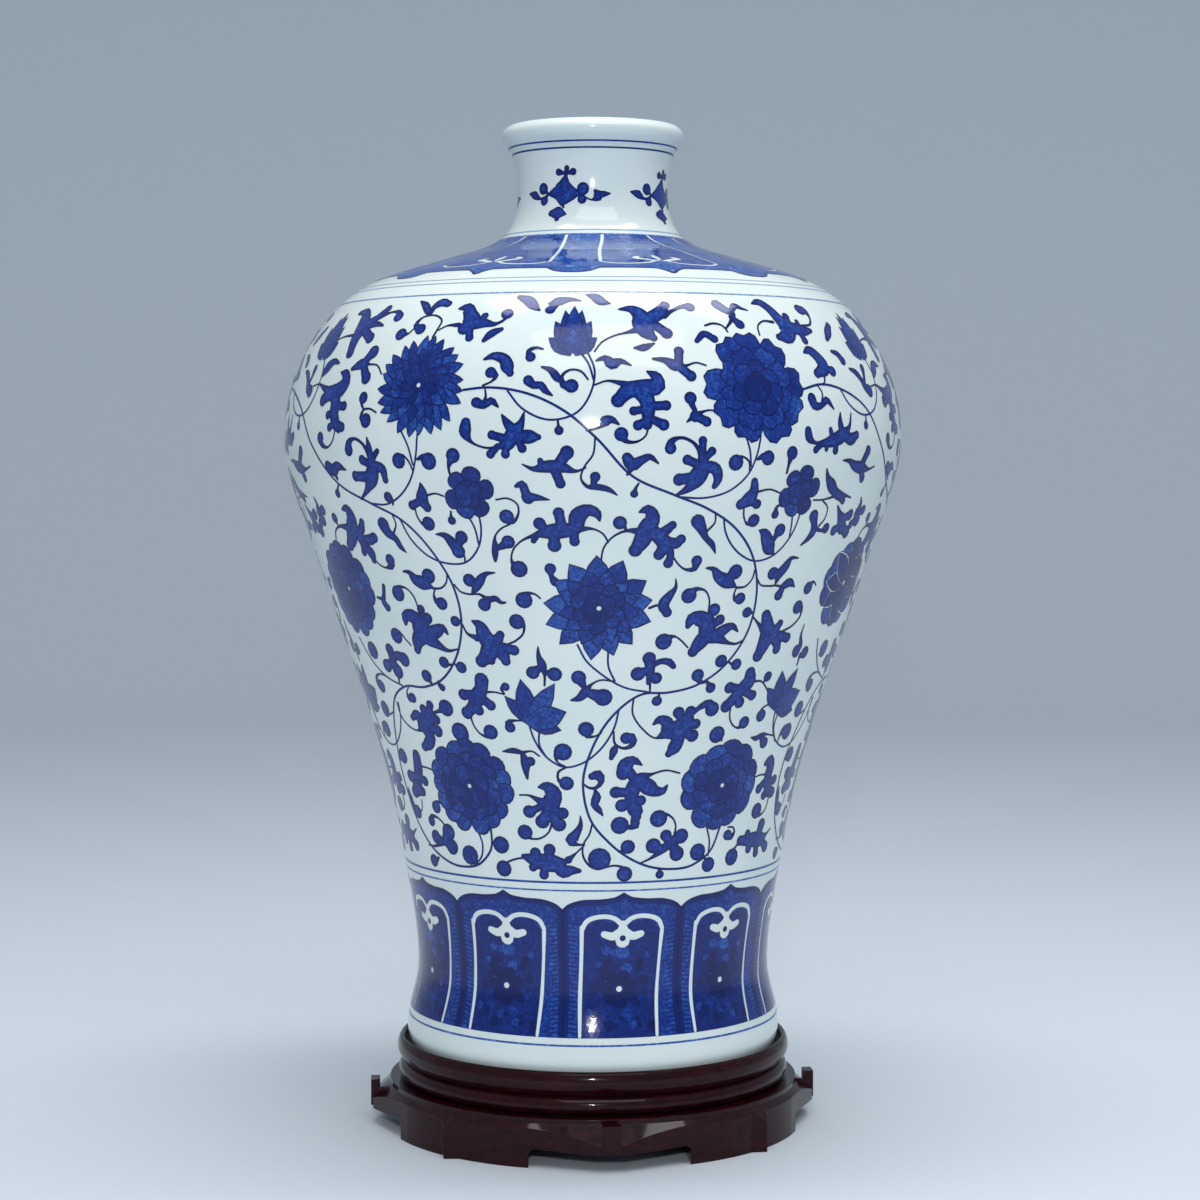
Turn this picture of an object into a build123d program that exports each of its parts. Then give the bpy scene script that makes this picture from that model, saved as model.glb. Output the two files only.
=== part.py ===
from build123d import *
import math
import os

# Meiping vase standing in a carved hardwood stand.
# Millimetres, +Z up, origin on the table under the vase's axis, front of the stand towards -Y.

# Vase: radius of the outer wall at each level, from the foot up to the lip
foot_radius = 73.2
foot_edge_inset = 2.4
waist_radius = 68.8
low_flank_radius = 75.2
flank_radius = 94.2
high_flank_radius = 112.6
belly_radius = 120.2
shoulder_radius = 91.8
slope_radius = 58.5
neck_root_radius = 37.0
neck_radius = 29.2
lip_root_radius = 31.3
lip_radius = 35.4
crest_radius = 31.8

# Vase: rise of each level above the one before it
foot_rise = 8.6
waist_rise = 25.0
low_flank_rise = 48.2
flank_rise = 70.4
high_flank_rise = 54.7
belly_rise = 32.1
shoulder_rise = 56.4
slope_rise = 12.4
neck_root_rise = 7.9
neck_rise = 17.9
lip_root_rise = 15.0
lip_rise = 8.0
crest_rise = 3.5

# Vase: direction of the wall where it is neither upright nor flat, in degrees from straight outwards
foot_edge_lean = 62.0
low_flank_lean = 80.9
flank_lean = 70.9
high_flank_lean = 71.2
shoulder_lean = 146.5
slope_lean = 162.0
neck_root_lean = 146.0
lip_root_lean = 72.0

# Vase: clay
wall = 5.0
neck_wall = 5.2
throat_drop = 14.5
throat_length = 22.0
floor_thickness = 7.0
floor_round = 16.0
foot_ring_width = 8.8
foot_ring_depth = 6.0
foot_ring_draft = 1.5

# Stand: turned seat board and moulding
seat_clearance = 0.9
seat_depth = 4.8
rim_width = 3.0
rim_round = 0.8
collar_height = 9.3
collar_undercut = 2.8
moulding_height = 7.3
moulding_setback = 0.4
moulding_bead = 3.0
moulding_width = 13.0
spigot_clearance = 0.15

# Stand: base ring, turned with a ledge and a falling bevel, then sawn to its outline
base_height = 18.2
base_width = 30.0
base_overhang = 5.2
ledge_width = 3.4
ledge_step = 1.8
bevel_fall = 40.0

# Stand: noses over the gaps with their upright tabs, spurs over the feet, and gaps between the feet
nose_reach = 4.9
nose_tip_width = 11.0
nose_spread = 26.0
tab_width = 7.0
tab_depth = 3.6
tab_proud = 0.6
tab_drop = 0.7
spur_reach = 3.8
spur_width = 9.0
gap_span = 43.0
gap_height = 7.2
gap_corner = 2.5
gap_droop = 0.8

# Stand: hidden joinery
dowel_diameter = 6.0
dowel_depth = 8.0
dowel_seat_depth = 6.5
dowel_turn = 30.0
dowel_clearance = 0.1
key_length = 20.0
key_width = 16.0
key_thickness = 4.0
key_level = 7.0
key_clearance = 0.15

# Edge under the vase's foot
foot_edge_radius = foot_radius - foot_edge_inset

# Heights of the stand, from the table up
moulding_bottom = base_height
collar_bottom = moulding_bottom + moulding_height
collar_top = collar_bottom + collar_height
seat_floor = collar_top - seat_depth

# Radii of the stand, outwards from the vase's foot
seat_radius = foot_radius + seat_clearance
collar_radius = seat_radius + rim_width
moulding_radius = collar_radius - moulding_setback
spigot_radius = moulding_radius - moulding_width
ledge_radius = moulding_radius + ledge_width
base_radius = collar_radius + base_overhang
base_bore = base_radius - base_width
nose_radius = base_radius + nose_reach
spur_radius = base_radius + spur_reach
dowel_circle = (base_bore + spigot_radius) / 2
key_circle = (base_bore + base_radius) / 2

sides = ["front", "right", "back", "left"]
pitch = 360.0 / len(sides)
upright, inwards, downwards = 90.0, 180.0, 270.0
handle_share = 1 / 3
past = 5.0


def vase_levels():
    """Outer wall from the foot's edge to the lip's crest: radius, height and direction at each level."""
    steps = [
        (foot_edge_radius, 0.0, foot_edge_lean),
        (foot_radius, foot_rise, upright),
        (waist_radius, waist_rise, upright),
        (low_flank_radius, low_flank_rise, low_flank_lean),
        (flank_radius, flank_rise, flank_lean),
        (high_flank_radius, high_flank_rise, high_flank_lean),
        (belly_radius, belly_rise, upright),
        (shoulder_radius, shoulder_rise, shoulder_lean),
        (slope_radius, slope_rise, slope_lean),
        (neck_root_radius, neck_root_rise, neck_root_lean),
        (neck_radius, neck_rise, upright),
        (lip_root_radius, lip_root_rise, lip_root_lean),
        (lip_radius, lip_rise, upright),
        (crest_radius, crest_rise, inwards),
    ]
    levels, height = [], seat_floor
    for radius, rise, lean in steps:
        height += rise
        levels.append((radius, height, lean))
    return levels


def inside(level):
    """The point of the inner wall behind a level of the outer wall, heading down."""
    radius, height, lean = level
    turn = math.radians(lean)
    return (radius - wall * math.sin(turn), height + wall * math.cos(turn), lean + 180.0)


def smooth(levels):
    """Smooth outline through the levels: one cubic between each pair, along their directions."""
    edges = []
    for (r0, z0, lean0), (r1, z1, lean1) in zip(levels, levels[1:]):
        handle = handle_share * math.hypot(r1 - r0, z1 - z0)
        turn0, turn1 = math.radians(lean0), math.radians(lean1)
        leaving = (r0 + handle * math.cos(turn0), 0, z0 + handle * math.sin(turn0))
        arriving = (r1 - handle * math.cos(turn1), 0, z1 - handle * math.sin(turn1))
        edges.append(Bezier((r0, 0, z0), leaving, arriving, (r1, 0, z1)))
    return edges


def straight(*points):
    """Straight outline through (radius, height) points."""
    return list(Polyline(*[(radius, 0, height) for radius, height in points]).edges())


def bulge(start, peak, end):
    """Round outline from start to end by way of peak, each (radius, height)."""
    return [ThreePointArc(*[(radius, 0, height) for radius, height in (start, peak, end)])]


def turned(edges):
    """Solid turned about the axis from a closed half outline."""
    return revolve(make_face(Wire(edges)), Axis.Z)


def polar(radius, degrees):
    """Plan point: 0 degrees is the front, and angles grow to the right."""
    turn = math.radians(degrees)
    return (radius * math.sin(turn), -radius * math.cos(turn))


def make_vase():
    """Hollow body on a foot ring, with a straight throat under the rolled lip."""
    outer = vase_levels()
    slope, waist = 8, 2
    crest = outer[-1]
    throat_radius = neck_radius - neck_wall
    throat_top = crest[1] - throat_drop
    throat_bottom = throat_top - throat_length
    recess_top = seat_floor + foot_ring_depth
    floor_top = recess_top + floor_thickness
    floor_edge = waist_radius - wall - floor_round
    ring_inner = foot_edge_radius - foot_ring_width
    recess_radius = ring_inner - foot_ring_draft
    lip_inside = [crest, (throat_radius, throat_top, downwards)]
    body_inside = [(throat_radius, throat_bottom, downwards)]
    body_inside += [inside(level) for level in outer[slope:waist - 1:-1]]
    body_inside += [(floor_edge, floor_top, inwards)]
    return turned(
        smooth(outer)
        + smooth(lip_inside)
        + straight((throat_radius, throat_top), (throat_radius, throat_bottom))
        + smooth(body_inside)
        + straight((floor_edge, floor_top), (0, floor_top), (0, recess_top), (recess_radius, recess_top),
                   (ring_inner, seat_floor), (foot_edge_radius, seat_floor))
    )


def make_seat_board():
    """Board with a dished seat for the foot, a half-round collar and a spigot below."""
    undercut = collar_radius - collar_undercut
    rim_edge = collar_radius - rim_round
    rim_side = collar_top - rim_round
    middle = (collar_bottom + rim_side) / 2
    board = turned(
        straight((0, moulding_bottom), (spigot_radius, moulding_bottom),
                 (spigot_radius, collar_bottom), (undercut, collar_bottom))
        + bulge((undercut, collar_bottom), (collar_radius, middle), (rim_edge, rim_side))
        + straight((rim_edge, rim_side), (rim_edge - rim_round, collar_top),
                   (seat_radius + rim_round, collar_top), (seat_radius, rim_side),
                   (seat_radius, seat_floor), (0, seat_floor), (0, moulding_bottom))
    )
    return board - place_dowels(dowel_clearance)


def make_moulding():
    """Half-round ring on the base, round the seat board's spigot."""
    inner = spigot_radius + spigot_clearance
    foot = moulding_radius - moulding_bead
    middle = moulding_bottom + moulding_height / 2
    return turned(
        straight((foot, collar_bottom), (inner, collar_bottom), (inner, moulding_bottom), (foot, moulding_bottom))
        + bulge((foot, moulding_bottom), (moulding_radius, middle), (foot, collar_bottom))
    )


def base_outline():
    """Plan of the base: blunt straight-sided noses over the gaps, arcs over the feet, a spur on each foot."""
    tip = math.degrees(math.asin(nose_tip_width / 2 / nose_radius))
    spur = math.degrees(math.asin(spur_width / 2 / base_radius))
    edges = []
    for index in range(len(sides)):
        nose = index * pitch
        foot = nose + pitch / 2
        arc_ends = [(nose + nose_spread, foot - spur), (foot + spur, nose + pitch - nose_spread)]
        edges.append(Line(polar(nose_radius, nose - tip), polar(nose_radius, nose + tip)))
        edges.append(Line(polar(nose_radius, nose + tip), polar(base_radius, nose + nose_spread)))
        for start, end in arc_ends:
            middle = (start + end) / 2
            edges.append(ThreePointArc(*[polar(base_radius, angle) for angle in (start, middle, end)]))
        edges.append(Line(polar(base_radius, foot - spur), polar(spur_radius, foot)))
        edges.append(Line(polar(spur_radius, foot), polar(base_radius, foot + spur)))
        edges.append(Line(polar(base_radius, nose + pitch - nose_spread), polar(nose_radius, nose + pitch - tip)))
    return make_face(edges)


def turned_base():
    """Turned form of the base: flat ledge with a small step, then the bevel falling outwards."""
    far = nose_radius + past
    bevel_top = base_height - ledge_step
    bevel_end = bevel_top - (far - ledge_radius) * math.tan(math.radians(bevel_fall))
    return turned(
        straight((base_bore, 0), (far, 0), (far, bevel_end), (ledge_radius, bevel_top),
                 (ledge_radius, base_height), (base_bore, base_height), (base_bore, 0))
    )


def make_tab():
    """Upright tab at the tip of the front nose, left standing when the bevel was cut."""
    top = base_height - tab_drop
    outer = nose_radius + tab_proud
    return Pos(0, tab_depth / 2 - outer, (gap_height + top) / 2) * Box(tab_width, tab_depth, top - gap_height)


def make_gap():
    """Opening under the front of the ring between two feet, its top drooping to the middle."""
    half = base_radius * math.sin(math.radians(gap_span / 2))
    corner = half - gap_corner
    side = gap_height - gap_corner
    inset = gap_corner * (1 - math.sqrt(0.5))
    outline = [
        Polyline((-half, side), (-half, -past), (half, -past), (half, side)),
        ThreePointArc((half, side), (half - inset, gap_height - inset), (corner, gap_height)),
        ThreePointArc((corner, gap_height), (0, gap_height - gap_droop), (-corner, gap_height)),
        ThreePointArc((-corner, gap_height), (inset - half, gap_height - inset), (-half, side)),
    ]
    return extrude(Plane.XZ * make_face(outline), nose_radius + past)


def place_dowels(clearance=0.0):
    """Upright dowels, two to a segment, from the base ring into the seat board's spigot."""
    radius = dowel_diameter / 2 + clearance
    bottom = base_height - dowel_depth - clearance
    height = dowel_depth + dowel_seat_depth + 2 * clearance
    dowels = []
    for index in range(len(sides)):
        for turn in (-dowel_turn, dowel_turn):
            x, y = polar(dowel_circle, index * pitch + turn)
            dowels.append(Pos(x, y, bottom + height / 2) * Cylinder(radius, height))
    return dowels


def place_keys(clearance=0.0):
    """Loose tenons across the joints between segments, one inside each foot."""
    size = [length + 2 * clearance for length in (key_length, key_width, key_thickness)]
    keys = []
    for index in range(len(sides)):
        foot = (index + 0.5) * pitch
        x, y = polar(key_circle, foot)
        keys.append(Pos(x, y, key_level) * Rot(0, 0, foot) * Box(*size))
    return keys


def make_segment(index):
    """One segment of the base ring, from the middle of one foot to the middle of the next."""
    turn = Rot(0, 0, index * pitch)
    far = 2 * nose_radius
    corners = [(0, 0), polar(far, -pitch / 2), polar(far, 0), polar(far, pitch / 2)]
    quarter = turn * extrude(make_face(Polyline(*corners, close=True)), base_height)
    ring = extrude(base_outline(), base_height) & turned_base()
    segment = (ring & quarter) + turn * make_tab() - turn * make_gap()
    return segment - place_dowels(dowel_clearance) - place_keys(key_clearance)


os.makedirs("parts", exist_ok=True)
parts = {
    "vase_body": make_vase(),
    "seat_board": make_seat_board(),
    "moulding_ring": make_moulding(),
    "seat_dowels": Compound(children=place_dowels()),
    "segment_keys": Compound(children=place_keys()),
}
for index, side in enumerate(sides):
    parts[f"base_segment_{side}"] = make_segment(index)
for name, shape in parts.items():
    export_step(shape, f"parts/{name}.step")
    print(name, len(shape.solids()), round(shape.volume), shape.bounding_box().size)
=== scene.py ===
import bisect
import math
import random

import bmesh
import bpy
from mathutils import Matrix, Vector
from mathutils.geometry import delaunay_2d_cdt, interpolate_bezier


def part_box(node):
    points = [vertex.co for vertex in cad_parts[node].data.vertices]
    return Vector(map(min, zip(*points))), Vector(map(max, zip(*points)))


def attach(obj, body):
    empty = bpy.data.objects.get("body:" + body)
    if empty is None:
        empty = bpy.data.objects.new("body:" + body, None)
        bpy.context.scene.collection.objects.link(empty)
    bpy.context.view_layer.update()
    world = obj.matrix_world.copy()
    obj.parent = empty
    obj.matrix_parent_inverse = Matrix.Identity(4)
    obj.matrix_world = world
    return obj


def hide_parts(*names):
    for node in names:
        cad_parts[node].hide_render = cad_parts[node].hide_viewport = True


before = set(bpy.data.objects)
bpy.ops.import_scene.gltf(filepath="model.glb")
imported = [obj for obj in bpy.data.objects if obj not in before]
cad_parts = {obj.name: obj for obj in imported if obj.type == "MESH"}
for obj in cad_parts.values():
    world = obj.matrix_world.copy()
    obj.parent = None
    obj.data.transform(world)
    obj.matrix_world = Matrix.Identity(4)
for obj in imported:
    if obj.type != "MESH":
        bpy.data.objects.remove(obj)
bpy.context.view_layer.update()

mm = 0.001
print("frame loaded with", len(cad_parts), "nodes")


def hexColor(code):
    parts = [int(code[i:i + 2], 16) / 255 for i in (1, 3, 5)]
    return [c / 12.92 if c < 0.04045 else ((c + 0.055) / 1.055) ** 2.4 for c in parts] + [1.0]


def plug(tree, node, links):
    # A node stands for its first output, and a plain value is set on the socket itself
    for socket, source in links.items():
        if isinstance(source, bpy.types.Node):
            source = source.outputs[0]
        if isinstance(source, bpy.types.NodeSocket):
            tree.links.new(source, node.inputs[socket])
        else:
            node.inputs[socket].default_value = source


def addNode(tree, kind, links=None, **settings):
    node = tree.nodes.new(kind)
    for key, value in settings.items():
        setattr(node, key, value)
    plug(tree, node, links or {})
    return node


def newMaterial(name):
    material = bpy.data.materials.new(name)
    material.use_nodes = True
    tree = material.node_tree
    return material, tree, tree.nodes["Principled BSDF"]


def colorSteps(node, steps):
    ramp = node.color_ramp
    while len(ramp.elements) < len(steps):
        ramp.elements.new(0.5)
    for element, (place, code) in zip(ramp.elements, steps):
        element.position = place
        element.color = hexColor(code)


def perMetre(size):
    return 1 / (size * mm)  # pattern scale for a feature of this many mm


# The photograph's camera, in mm and degrees, from the table under the middle of the stand
camera = {
    "lens": 80.3,
    "sensor": 36,
    "distance": 1052.4,
    "height": 257.9,
    "round": -4.7,
    "pitch": 2.853,
    "yaw": 0.153,
}

# The vase's turned shape, in mm: radius, height above the foot, direction of travel in degrees
vaseShape = {
    "outside": [
        (70.8, 0, 62), (73.2, 8.6, 90), (68.8, 33.6, 90), (75.2, 81.8, 80.9), (94.2, 152.2, 70.9),
        (112.6, 206.9, 71.2), (120.2, 239.0, 90), (91.8, 295.4, 146.5), (58.5, 307.8, 162),
        (37.0, 315.7, 146), (29.2, 333.6, 90), (31.3, 348.6, 72), (35.4, 356.6, 90), (31.8, 360.1, 180),
    ],
    "hollow": slice(2, 9),  # the levels that the inside follows, a wall's thickness away
    "wall": 5.0,
    "throatRadius": 24.0,
    "throatTop": 345.6,
    "throatBottom": 323.6,
    "lipFlare": 2.3,
    "lipRise": 11.5,
    "floorEdge": 47.8,
    "floorHeight": 13.0,
    "underside": 6.0,
    "footInner": 62.0,
    "footInnerTop": 60.5,
    "glazeStart": 0.3,
    "glazeFull": 0.8,
    "segments": 192,
    "outsideSteps": 16,  # between two levels
    "insideSteps": 8,
    "paintedSteps": 40,
}
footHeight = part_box("vase_body")[0].z / mm  # the foot stands in the seat, above the table


def heading(angle):
    return Vector((math.cos(math.radians(angle)), math.sin(math.radians(angle))))


def sweepCurve(levels, count):
    run = []
    for (r0, z0, a0), (r1, z1, a1) in zip(levels, levels[1:]):
        start, end = Vector((r0, z0)), Vector((r1, z1))
        reach = (end - start).length / 3
        leave, arrive = start + reach * heading(a0), end - reach * heading(a1)
        run += interpolate_bezier(start, leave, arrive, end, count + 1)[:-1]
    return run + [Vector(levels[-1][:2])]


def insideLevels(shape):
    levels = []
    for r, z, a in reversed(shape["outside"][shape["hollow"]]):
        lean = math.radians(a)
        levels.append((r - shape["wall"] * math.sin(lean), z + shape["wall"] * math.cos(lean), a + 180))
    throat = [(shape["throatRadius"], shape["throatBottom"], 270)]
    return throat + levels + [(shape["floorEdge"], shape["floorHeight"], 180)]


def wholeProfile(shape):
    throat, top = shape["throatRadius"], shape["throatTop"]
    under = [(0, shape["underside"]), (shape["footInnerTop"], shape["underside"]), (shape["footInner"], 0)]
    lip = [(throat + shape["lipFlare"], top + shape["lipRise"]), (throat, top)]
    run = [Vector(point) for point in under] + sweepCurve(shape["outside"], shape["outsideSteps"])
    run += [Vector(point) for point in lip] + sweepCurve(insideLevels(shape), shape["insideSteps"])
    return run + [Vector((0, shape["floorHeight"]))]


def profileMesh(name, run):
    mesh = bpy.data.meshes.new(name)
    points = [(p.x * mm, 0, (p.y + footHeight) * mm) for p in run]
    mesh.from_pydata(points, [(i, i + 1) for i in range(len(points) - 1)], [])
    return mesh


def newTree(name, inputs):
    tree = bpy.data.node_groups.new(name, "GeometryNodeTree")
    tree.interface.new_socket("Geometry", in_out="INPUT", socket_type="NodeSocketGeometry")
    for label, kind in inputs:
        tree.interface.new_socket(label, in_out="INPUT", socket_type="NodeSocket" + kind)
    tree.interface.new_socket("Geometry", in_out="OUTPUT", socket_type="NodeSocketGeometry")
    return tree, tree.nodes.new("NodeGroupInput").outputs, tree.nodes.new("NodeGroupOutput")


def grow(name, mesh, tree, values):
    piece = bpy.data.objects.new(name, mesh)
    bpy.context.scene.collection.objects.link(piece)
    modifier = piece.modifiers.new("grow", "NODES")
    modifier.node_group = tree
    for item in tree.interface.items_tree:
        if item.in_out == "INPUT" and item.name in values:
            modifier[item.identifier] = values[item.name]
    graph = bpy.context.evaluated_depsgraph_get()
    made = bpy.data.meshes.new_from_object(
        piece.evaluated_get(graph), preserve_all_data_layers=True, depsgraph=graph)
    piece.modifiers.remove(modifier)
    piece.data = made
    made.name = name
    return piece


def turnTree():
    # A grid with a column for each turn and a row for each point of the profile, closed into a wall
    tree, given, result = newTree("turnOnWheel", [("Segments", "Int"), ("Finish", "Material")])
    profile = given["Geometry"]
    count = addNode(tree, "GeometryNodeAttributeDomainSize", {"Geometry": profile}).outputs["Point Count"]
    columns = addNode(tree, "ShaderNodeMath", {0: given["Segments"], 1: 1.0}, operation="ADD")
    grid = addNode(tree, "GeometryNodeMeshGrid", {"Vertices X": columns, "Vertices Y": count})
    index = addNode(tree, "GeometryNodeInputIndex")
    row = addNode(tree, "ShaderNodeMath", {0: index, 1: count}, operation="MODULO")
    share = addNode(tree, "ShaderNodeMath", {0: index, 1: count}, operation="DIVIDE")
    column = addNode(tree, "ShaderNodeMath", {0: share}, operation="FLOOR")
    part = addNode(tree, "ShaderNodeMath", {0: column, 1: given["Segments"]}, operation="DIVIDE")
    angle = addNode(tree, "ShaderNodeMath", {0: part, 1: math.tau}, operation="MULTIPLY")
    place = addNode(tree, "GeometryNodeInputPosition")
    point = addNode(tree, "GeometryNodeSampleIndex", {"Geometry": profile, "Value": place, "Index": row},
                    data_type="FLOAT_VECTOR")
    turned = addNode(tree, "ShaderNodeVectorRotate", {"Vector": point, "Angle": angle},
                     rotation_type="Z_AXIS")
    wall = addNode(tree, "GeometryNodeSetPosition", {"Geometry": grid, "Position": turned})
    closed = addNode(tree, "GeometryNodeMergeByDistance", {"Geometry": wall, "Distance": 0.002 * mm})
    smooth = addNode(tree, "GeometryNodeSetShadeSmooth", {"Geometry": closed})
    single = addNode(tree, "GeometryNodeRealizeInstances", {"Geometry": smooth})
    painted = addNode(tree, "GeometryNodeSetMaterial", {"Geometry": single, "Material": given["Finish"]})
    plug(tree, result, {"Geometry": painted})
    return tree


def glazedPorcelain():
    # Thrown porcelain under a clear glaze: cool white, faintly green where it pools, mirror-like, a little
    # wavy. The foot ring is wiped bare, and shows the dry cream body
    material, tree, shader = newMaterial("glazedPorcelain")
    place = addNode(tree, "ShaderNodeTexCoord").outputs["Object"]
    pooling = addNode(tree, "ShaderNodeTexNoise", {"Vector": place, "Scale": perMetre(45), "Detail": 2.0})
    tint = addNode(tree, "ShaderNodeValToRGB", {"Fac": pooling})
    colorSteps(tint, [(0.3, "#DCE9E7"), (0.7, "#E6F0EE")])
    height = addNode(tree, "ShaderNodeSeparateXYZ", {"Vector": place}).outputs["Z"]
    bare = addNode(tree, "ShaderNodeMapRange", {
        "Value": height, "From Min": (footHeight + vaseShape["glazeStart"]) * mm,
        "From Max": (footHeight + vaseShape["glazeFull"]) * mm, "To Min": 1.0, "To Max": 0.0})
    body = addNode(tree, "ShaderNodeMix", {"Factor": bare, 6: tint, 7: hexColor("#D9CDBB")},
                   data_type="RGBA").outputs[2]
    rough = addNode(tree, "ShaderNodeMapRange", {"Value": bare, "To Min": 0.09, "To Max": 0.75})
    waves = addNode(tree, "ShaderNodeTexNoise", {"Vector": place, "Scale": perMetre(14), "Detail": 1.0})
    bump = addNode(tree, "ShaderNodeBump", {"Height": waves, "Strength": 0.05, "Distance": 0.4 * mm})
    plug(tree, shader, {"Base Color": body, "Roughness": rough, "Normal": bump, "IOR": 1.52})
    return material


def cobaltUnderGlaze():
    # Cobalt brushed on raw clay and fired under clear glaze: ink-dark where it pooled in the lines, washed
    # and speckled inside them, as glossy as the white around it
    mottleMiddle, mottleDepth = 0.95, 1.4
    material, tree, shader = newMaterial("cobaltUnderGlaze")
    place = addNode(tree, "ShaderNodeTexCoord").outputs["Object"]
    tone = addNode(tree, "ShaderNodeAttribute", attribute_name="tone").outputs["Fac"]
    specks = addNode(tree, "ShaderNodeTexVoronoi", {"Vector": place, "Scale": perMetre(1.3)})
    wash = addNode(tree, "ShaderNodeTexNoise", {"Vector": place, "Scale": perMetre(5), "Detail": 4.0})
    mottle = addNode(tree, "ShaderNodeMath", {0: wash, 1: specks}, operation="ADD")
    centred = addNode(tree, "ShaderNodeMath", {0: mottleMiddle, 1: mottle}, operation="SUBTRACT")
    paler = addNode(tree, "ShaderNodeMath", {0: mottleDepth, 1: tone, 2: -mottleDepth},
                    operation="MULTIPLY_ADD")
    # The middle tones are mottled most
    weight = addNode(tree, "ShaderNodeMath", {0: tone, 1: paler}, operation="MULTIPLY")
    mixed = addNode(tree, "ShaderNodeMath", {0: centred, 1: weight, 2: tone}, operation="MULTIPLY_ADD")
    tint = addNode(tree, "ShaderNodeValToRGB", {"Fac": mixed})
    colorSteps(tint, [(0.0, "#071A56"), (0.3, "#0C246E"), (0.5, "#14358A"), (0.75, "#2F5FB0"),
                      (1.0, "#A9C6DC")])
    plug(tree, shader, {"Base Color": tint, "Roughness": 0.09, "IOR": 1.52, "Specular IOR Level": 0.35})
    return material


def lacqueredRosewood(name, grainAxis):
    # Dark rosewood under several coats of lacquer: near-black red, fine streaks along the grain, glassy
    # edges that a knife has eased
    material, tree, shader = newMaterial(name)
    place = addNode(tree, "ShaderNodeTexCoord").outputs["Object"]
    stretch = [1.0, 1.0, 1.0]
    stretch[grainAxis] = 0.08  # streaks are about twelve times as long as wide
    along = addNode(tree, "ShaderNodeMapping", {"Vector": place, "Scale": stretch})
    grain = addNode(tree, "ShaderNodeTexNoise", {"Vector": along, "Scale": perMetre(2.2), "Detail": 5.0})
    tint = addNode(tree, "ShaderNodeValToRGB", {"Fac": grain})
    colorSteps(tint, [(0.3, "#1B0509"), (0.52, "#27080E"), (0.75, "#350B14")])
    # Real pores are finer, and would not show
    pores = addNode(tree, "ShaderNodeTexNoise", {"Vector": along, "Scale": perMetre(0.6), "Detail": 2.0})
    eased = addNode(tree, "ShaderNodeBevel", {"Radius": 0.55 * mm}, samples=8)
    bump = addNode(tree, "ShaderNodeBump", {
        "Height": pores, "Strength": 0.1, "Distance": 0.1 * mm, "Normal": eased})
    gloss = addNode(tree, "ShaderNodeMapRange", {"Value": grain, "To Min": 0.16, "To Max": 0.3})
    plug(tree, shader, {
        "Base Color": tint, "Roughness": gloss, "Normal": bump, "Coat Normal": eased,
        "Specular IOR Level": 0.06, "Coat Weight": 0.3, "Coat Roughness": 0.05})
    return material


def bareBeech():
    # Split and planed beech left bare inside the joints: pale straw brown, short darker flecks, no shine
    material, tree, shader = newMaterial("bareBeech")
    place = addNode(tree, "ShaderNodeTexCoord").outputs["Object"]
    along = addNode(tree, "ShaderNodeMapping", {"Vector": place, "Scale": (1.0, 1.0, 0.15)})
    flecks = addNode(tree, "ShaderNodeTexNoise", {"Vector": along, "Scale": perMetre(0.8), "Detail": 3.0})
    tint = addNode(tree, "ShaderNodeValToRGB", {"Fac": flecks})
    colorSteps(tint, [(0.35, "#A87E58"), (0.65, "#C49B72")])
    plug(tree, shader, {"Base Color": tint, "Roughness": 0.7})
    return material


porcelain = glazedPorcelain()
cobalt = cobaltUnderGlaze()
vase = grow("vase", profileMesh("vaseProfile", wholeProfile(vaseShape)), turnTree(),
            {"Segments": vaseShape["segments"], "Finish": porcelain})
shell = bmesh.new()
shell.from_mesh(vase.data)
bmesh.ops.recalc_face_normals(shell, faces=shell.faces)
shell.to_mesh(vase.data)
shell.free()
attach(vase, "vase")
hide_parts("vase_body")
print("vase turned,", len(vase.data.polygons), "faces")


# Painting: angle in degrees round the vase, 0 towards the viewer, and rise in mm up its wall from the
# foot's edge. A painting is a list of outlines, each with its tone: 0 is the darkest blue, 1 the palest,
# and None leaves the white
outerRun = sweepCurve(vaseShape["outside"], vaseShape["paintedSteps"])
riseMarks = [0.0]
for here, there in zip(outerRun, outerRun[1:]):
    riseMarks.append(riseMarks[-1] + (there - here).length)

brush = {
    "line": 0.0, "leaf": 0.3, "core": 0.46,  # tones, from a leaf's edge inwards
    "edge": 0.45, "coreEdge": 2.4,  # the line's width, and how many of them lie outside the core
    "tail": 0.35,  # half width of a tail
    "thin": 0.7, "body": 1.45, "press": 0.9,  # what is wider spreads by so much more, less at the tip
    "knob": 1.2, "bulb": 1.15,  # tips wider than this end in a bulb, so much wider
    "finest": 0.16,  # a thinner stroke leaves no paint
    "fineEnd": 0.6,  # an end up to this half width has fewer corners
    "dab": (1.0, 2.4),  # radius of a loose dab
    "step": 1.3, "longStep": 2,  # mm between the points of a stroke, and of a long straight one
    "leastSteps": 8,  # so that short curved strokes stay round
    "tipEdge": 1.3,  # how many lines thick a petal's tip is
    "seed": 0.85,  # radius of the white spot in a flower's heart
}


def radiusAt(rise):
    k = min(max(bisect.bisect(riseMarks, rise), 1), len(riseMarks) - 1)
    part = (rise - riseMarks[k - 1]) / (riseMarks[k] - riseMarks[k - 1])
    return outerRun[k - 1].x + part * (outerRun[k].x - outerRun[k - 1].x)


def perDegree(rise):
    return math.radians(radiusAt(rise))  # mm along the wall for one degree


def inked(points, half):
    return [(*spot, half)[:3] for spot in points]  # a spot with no width of its own gets this one


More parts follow.
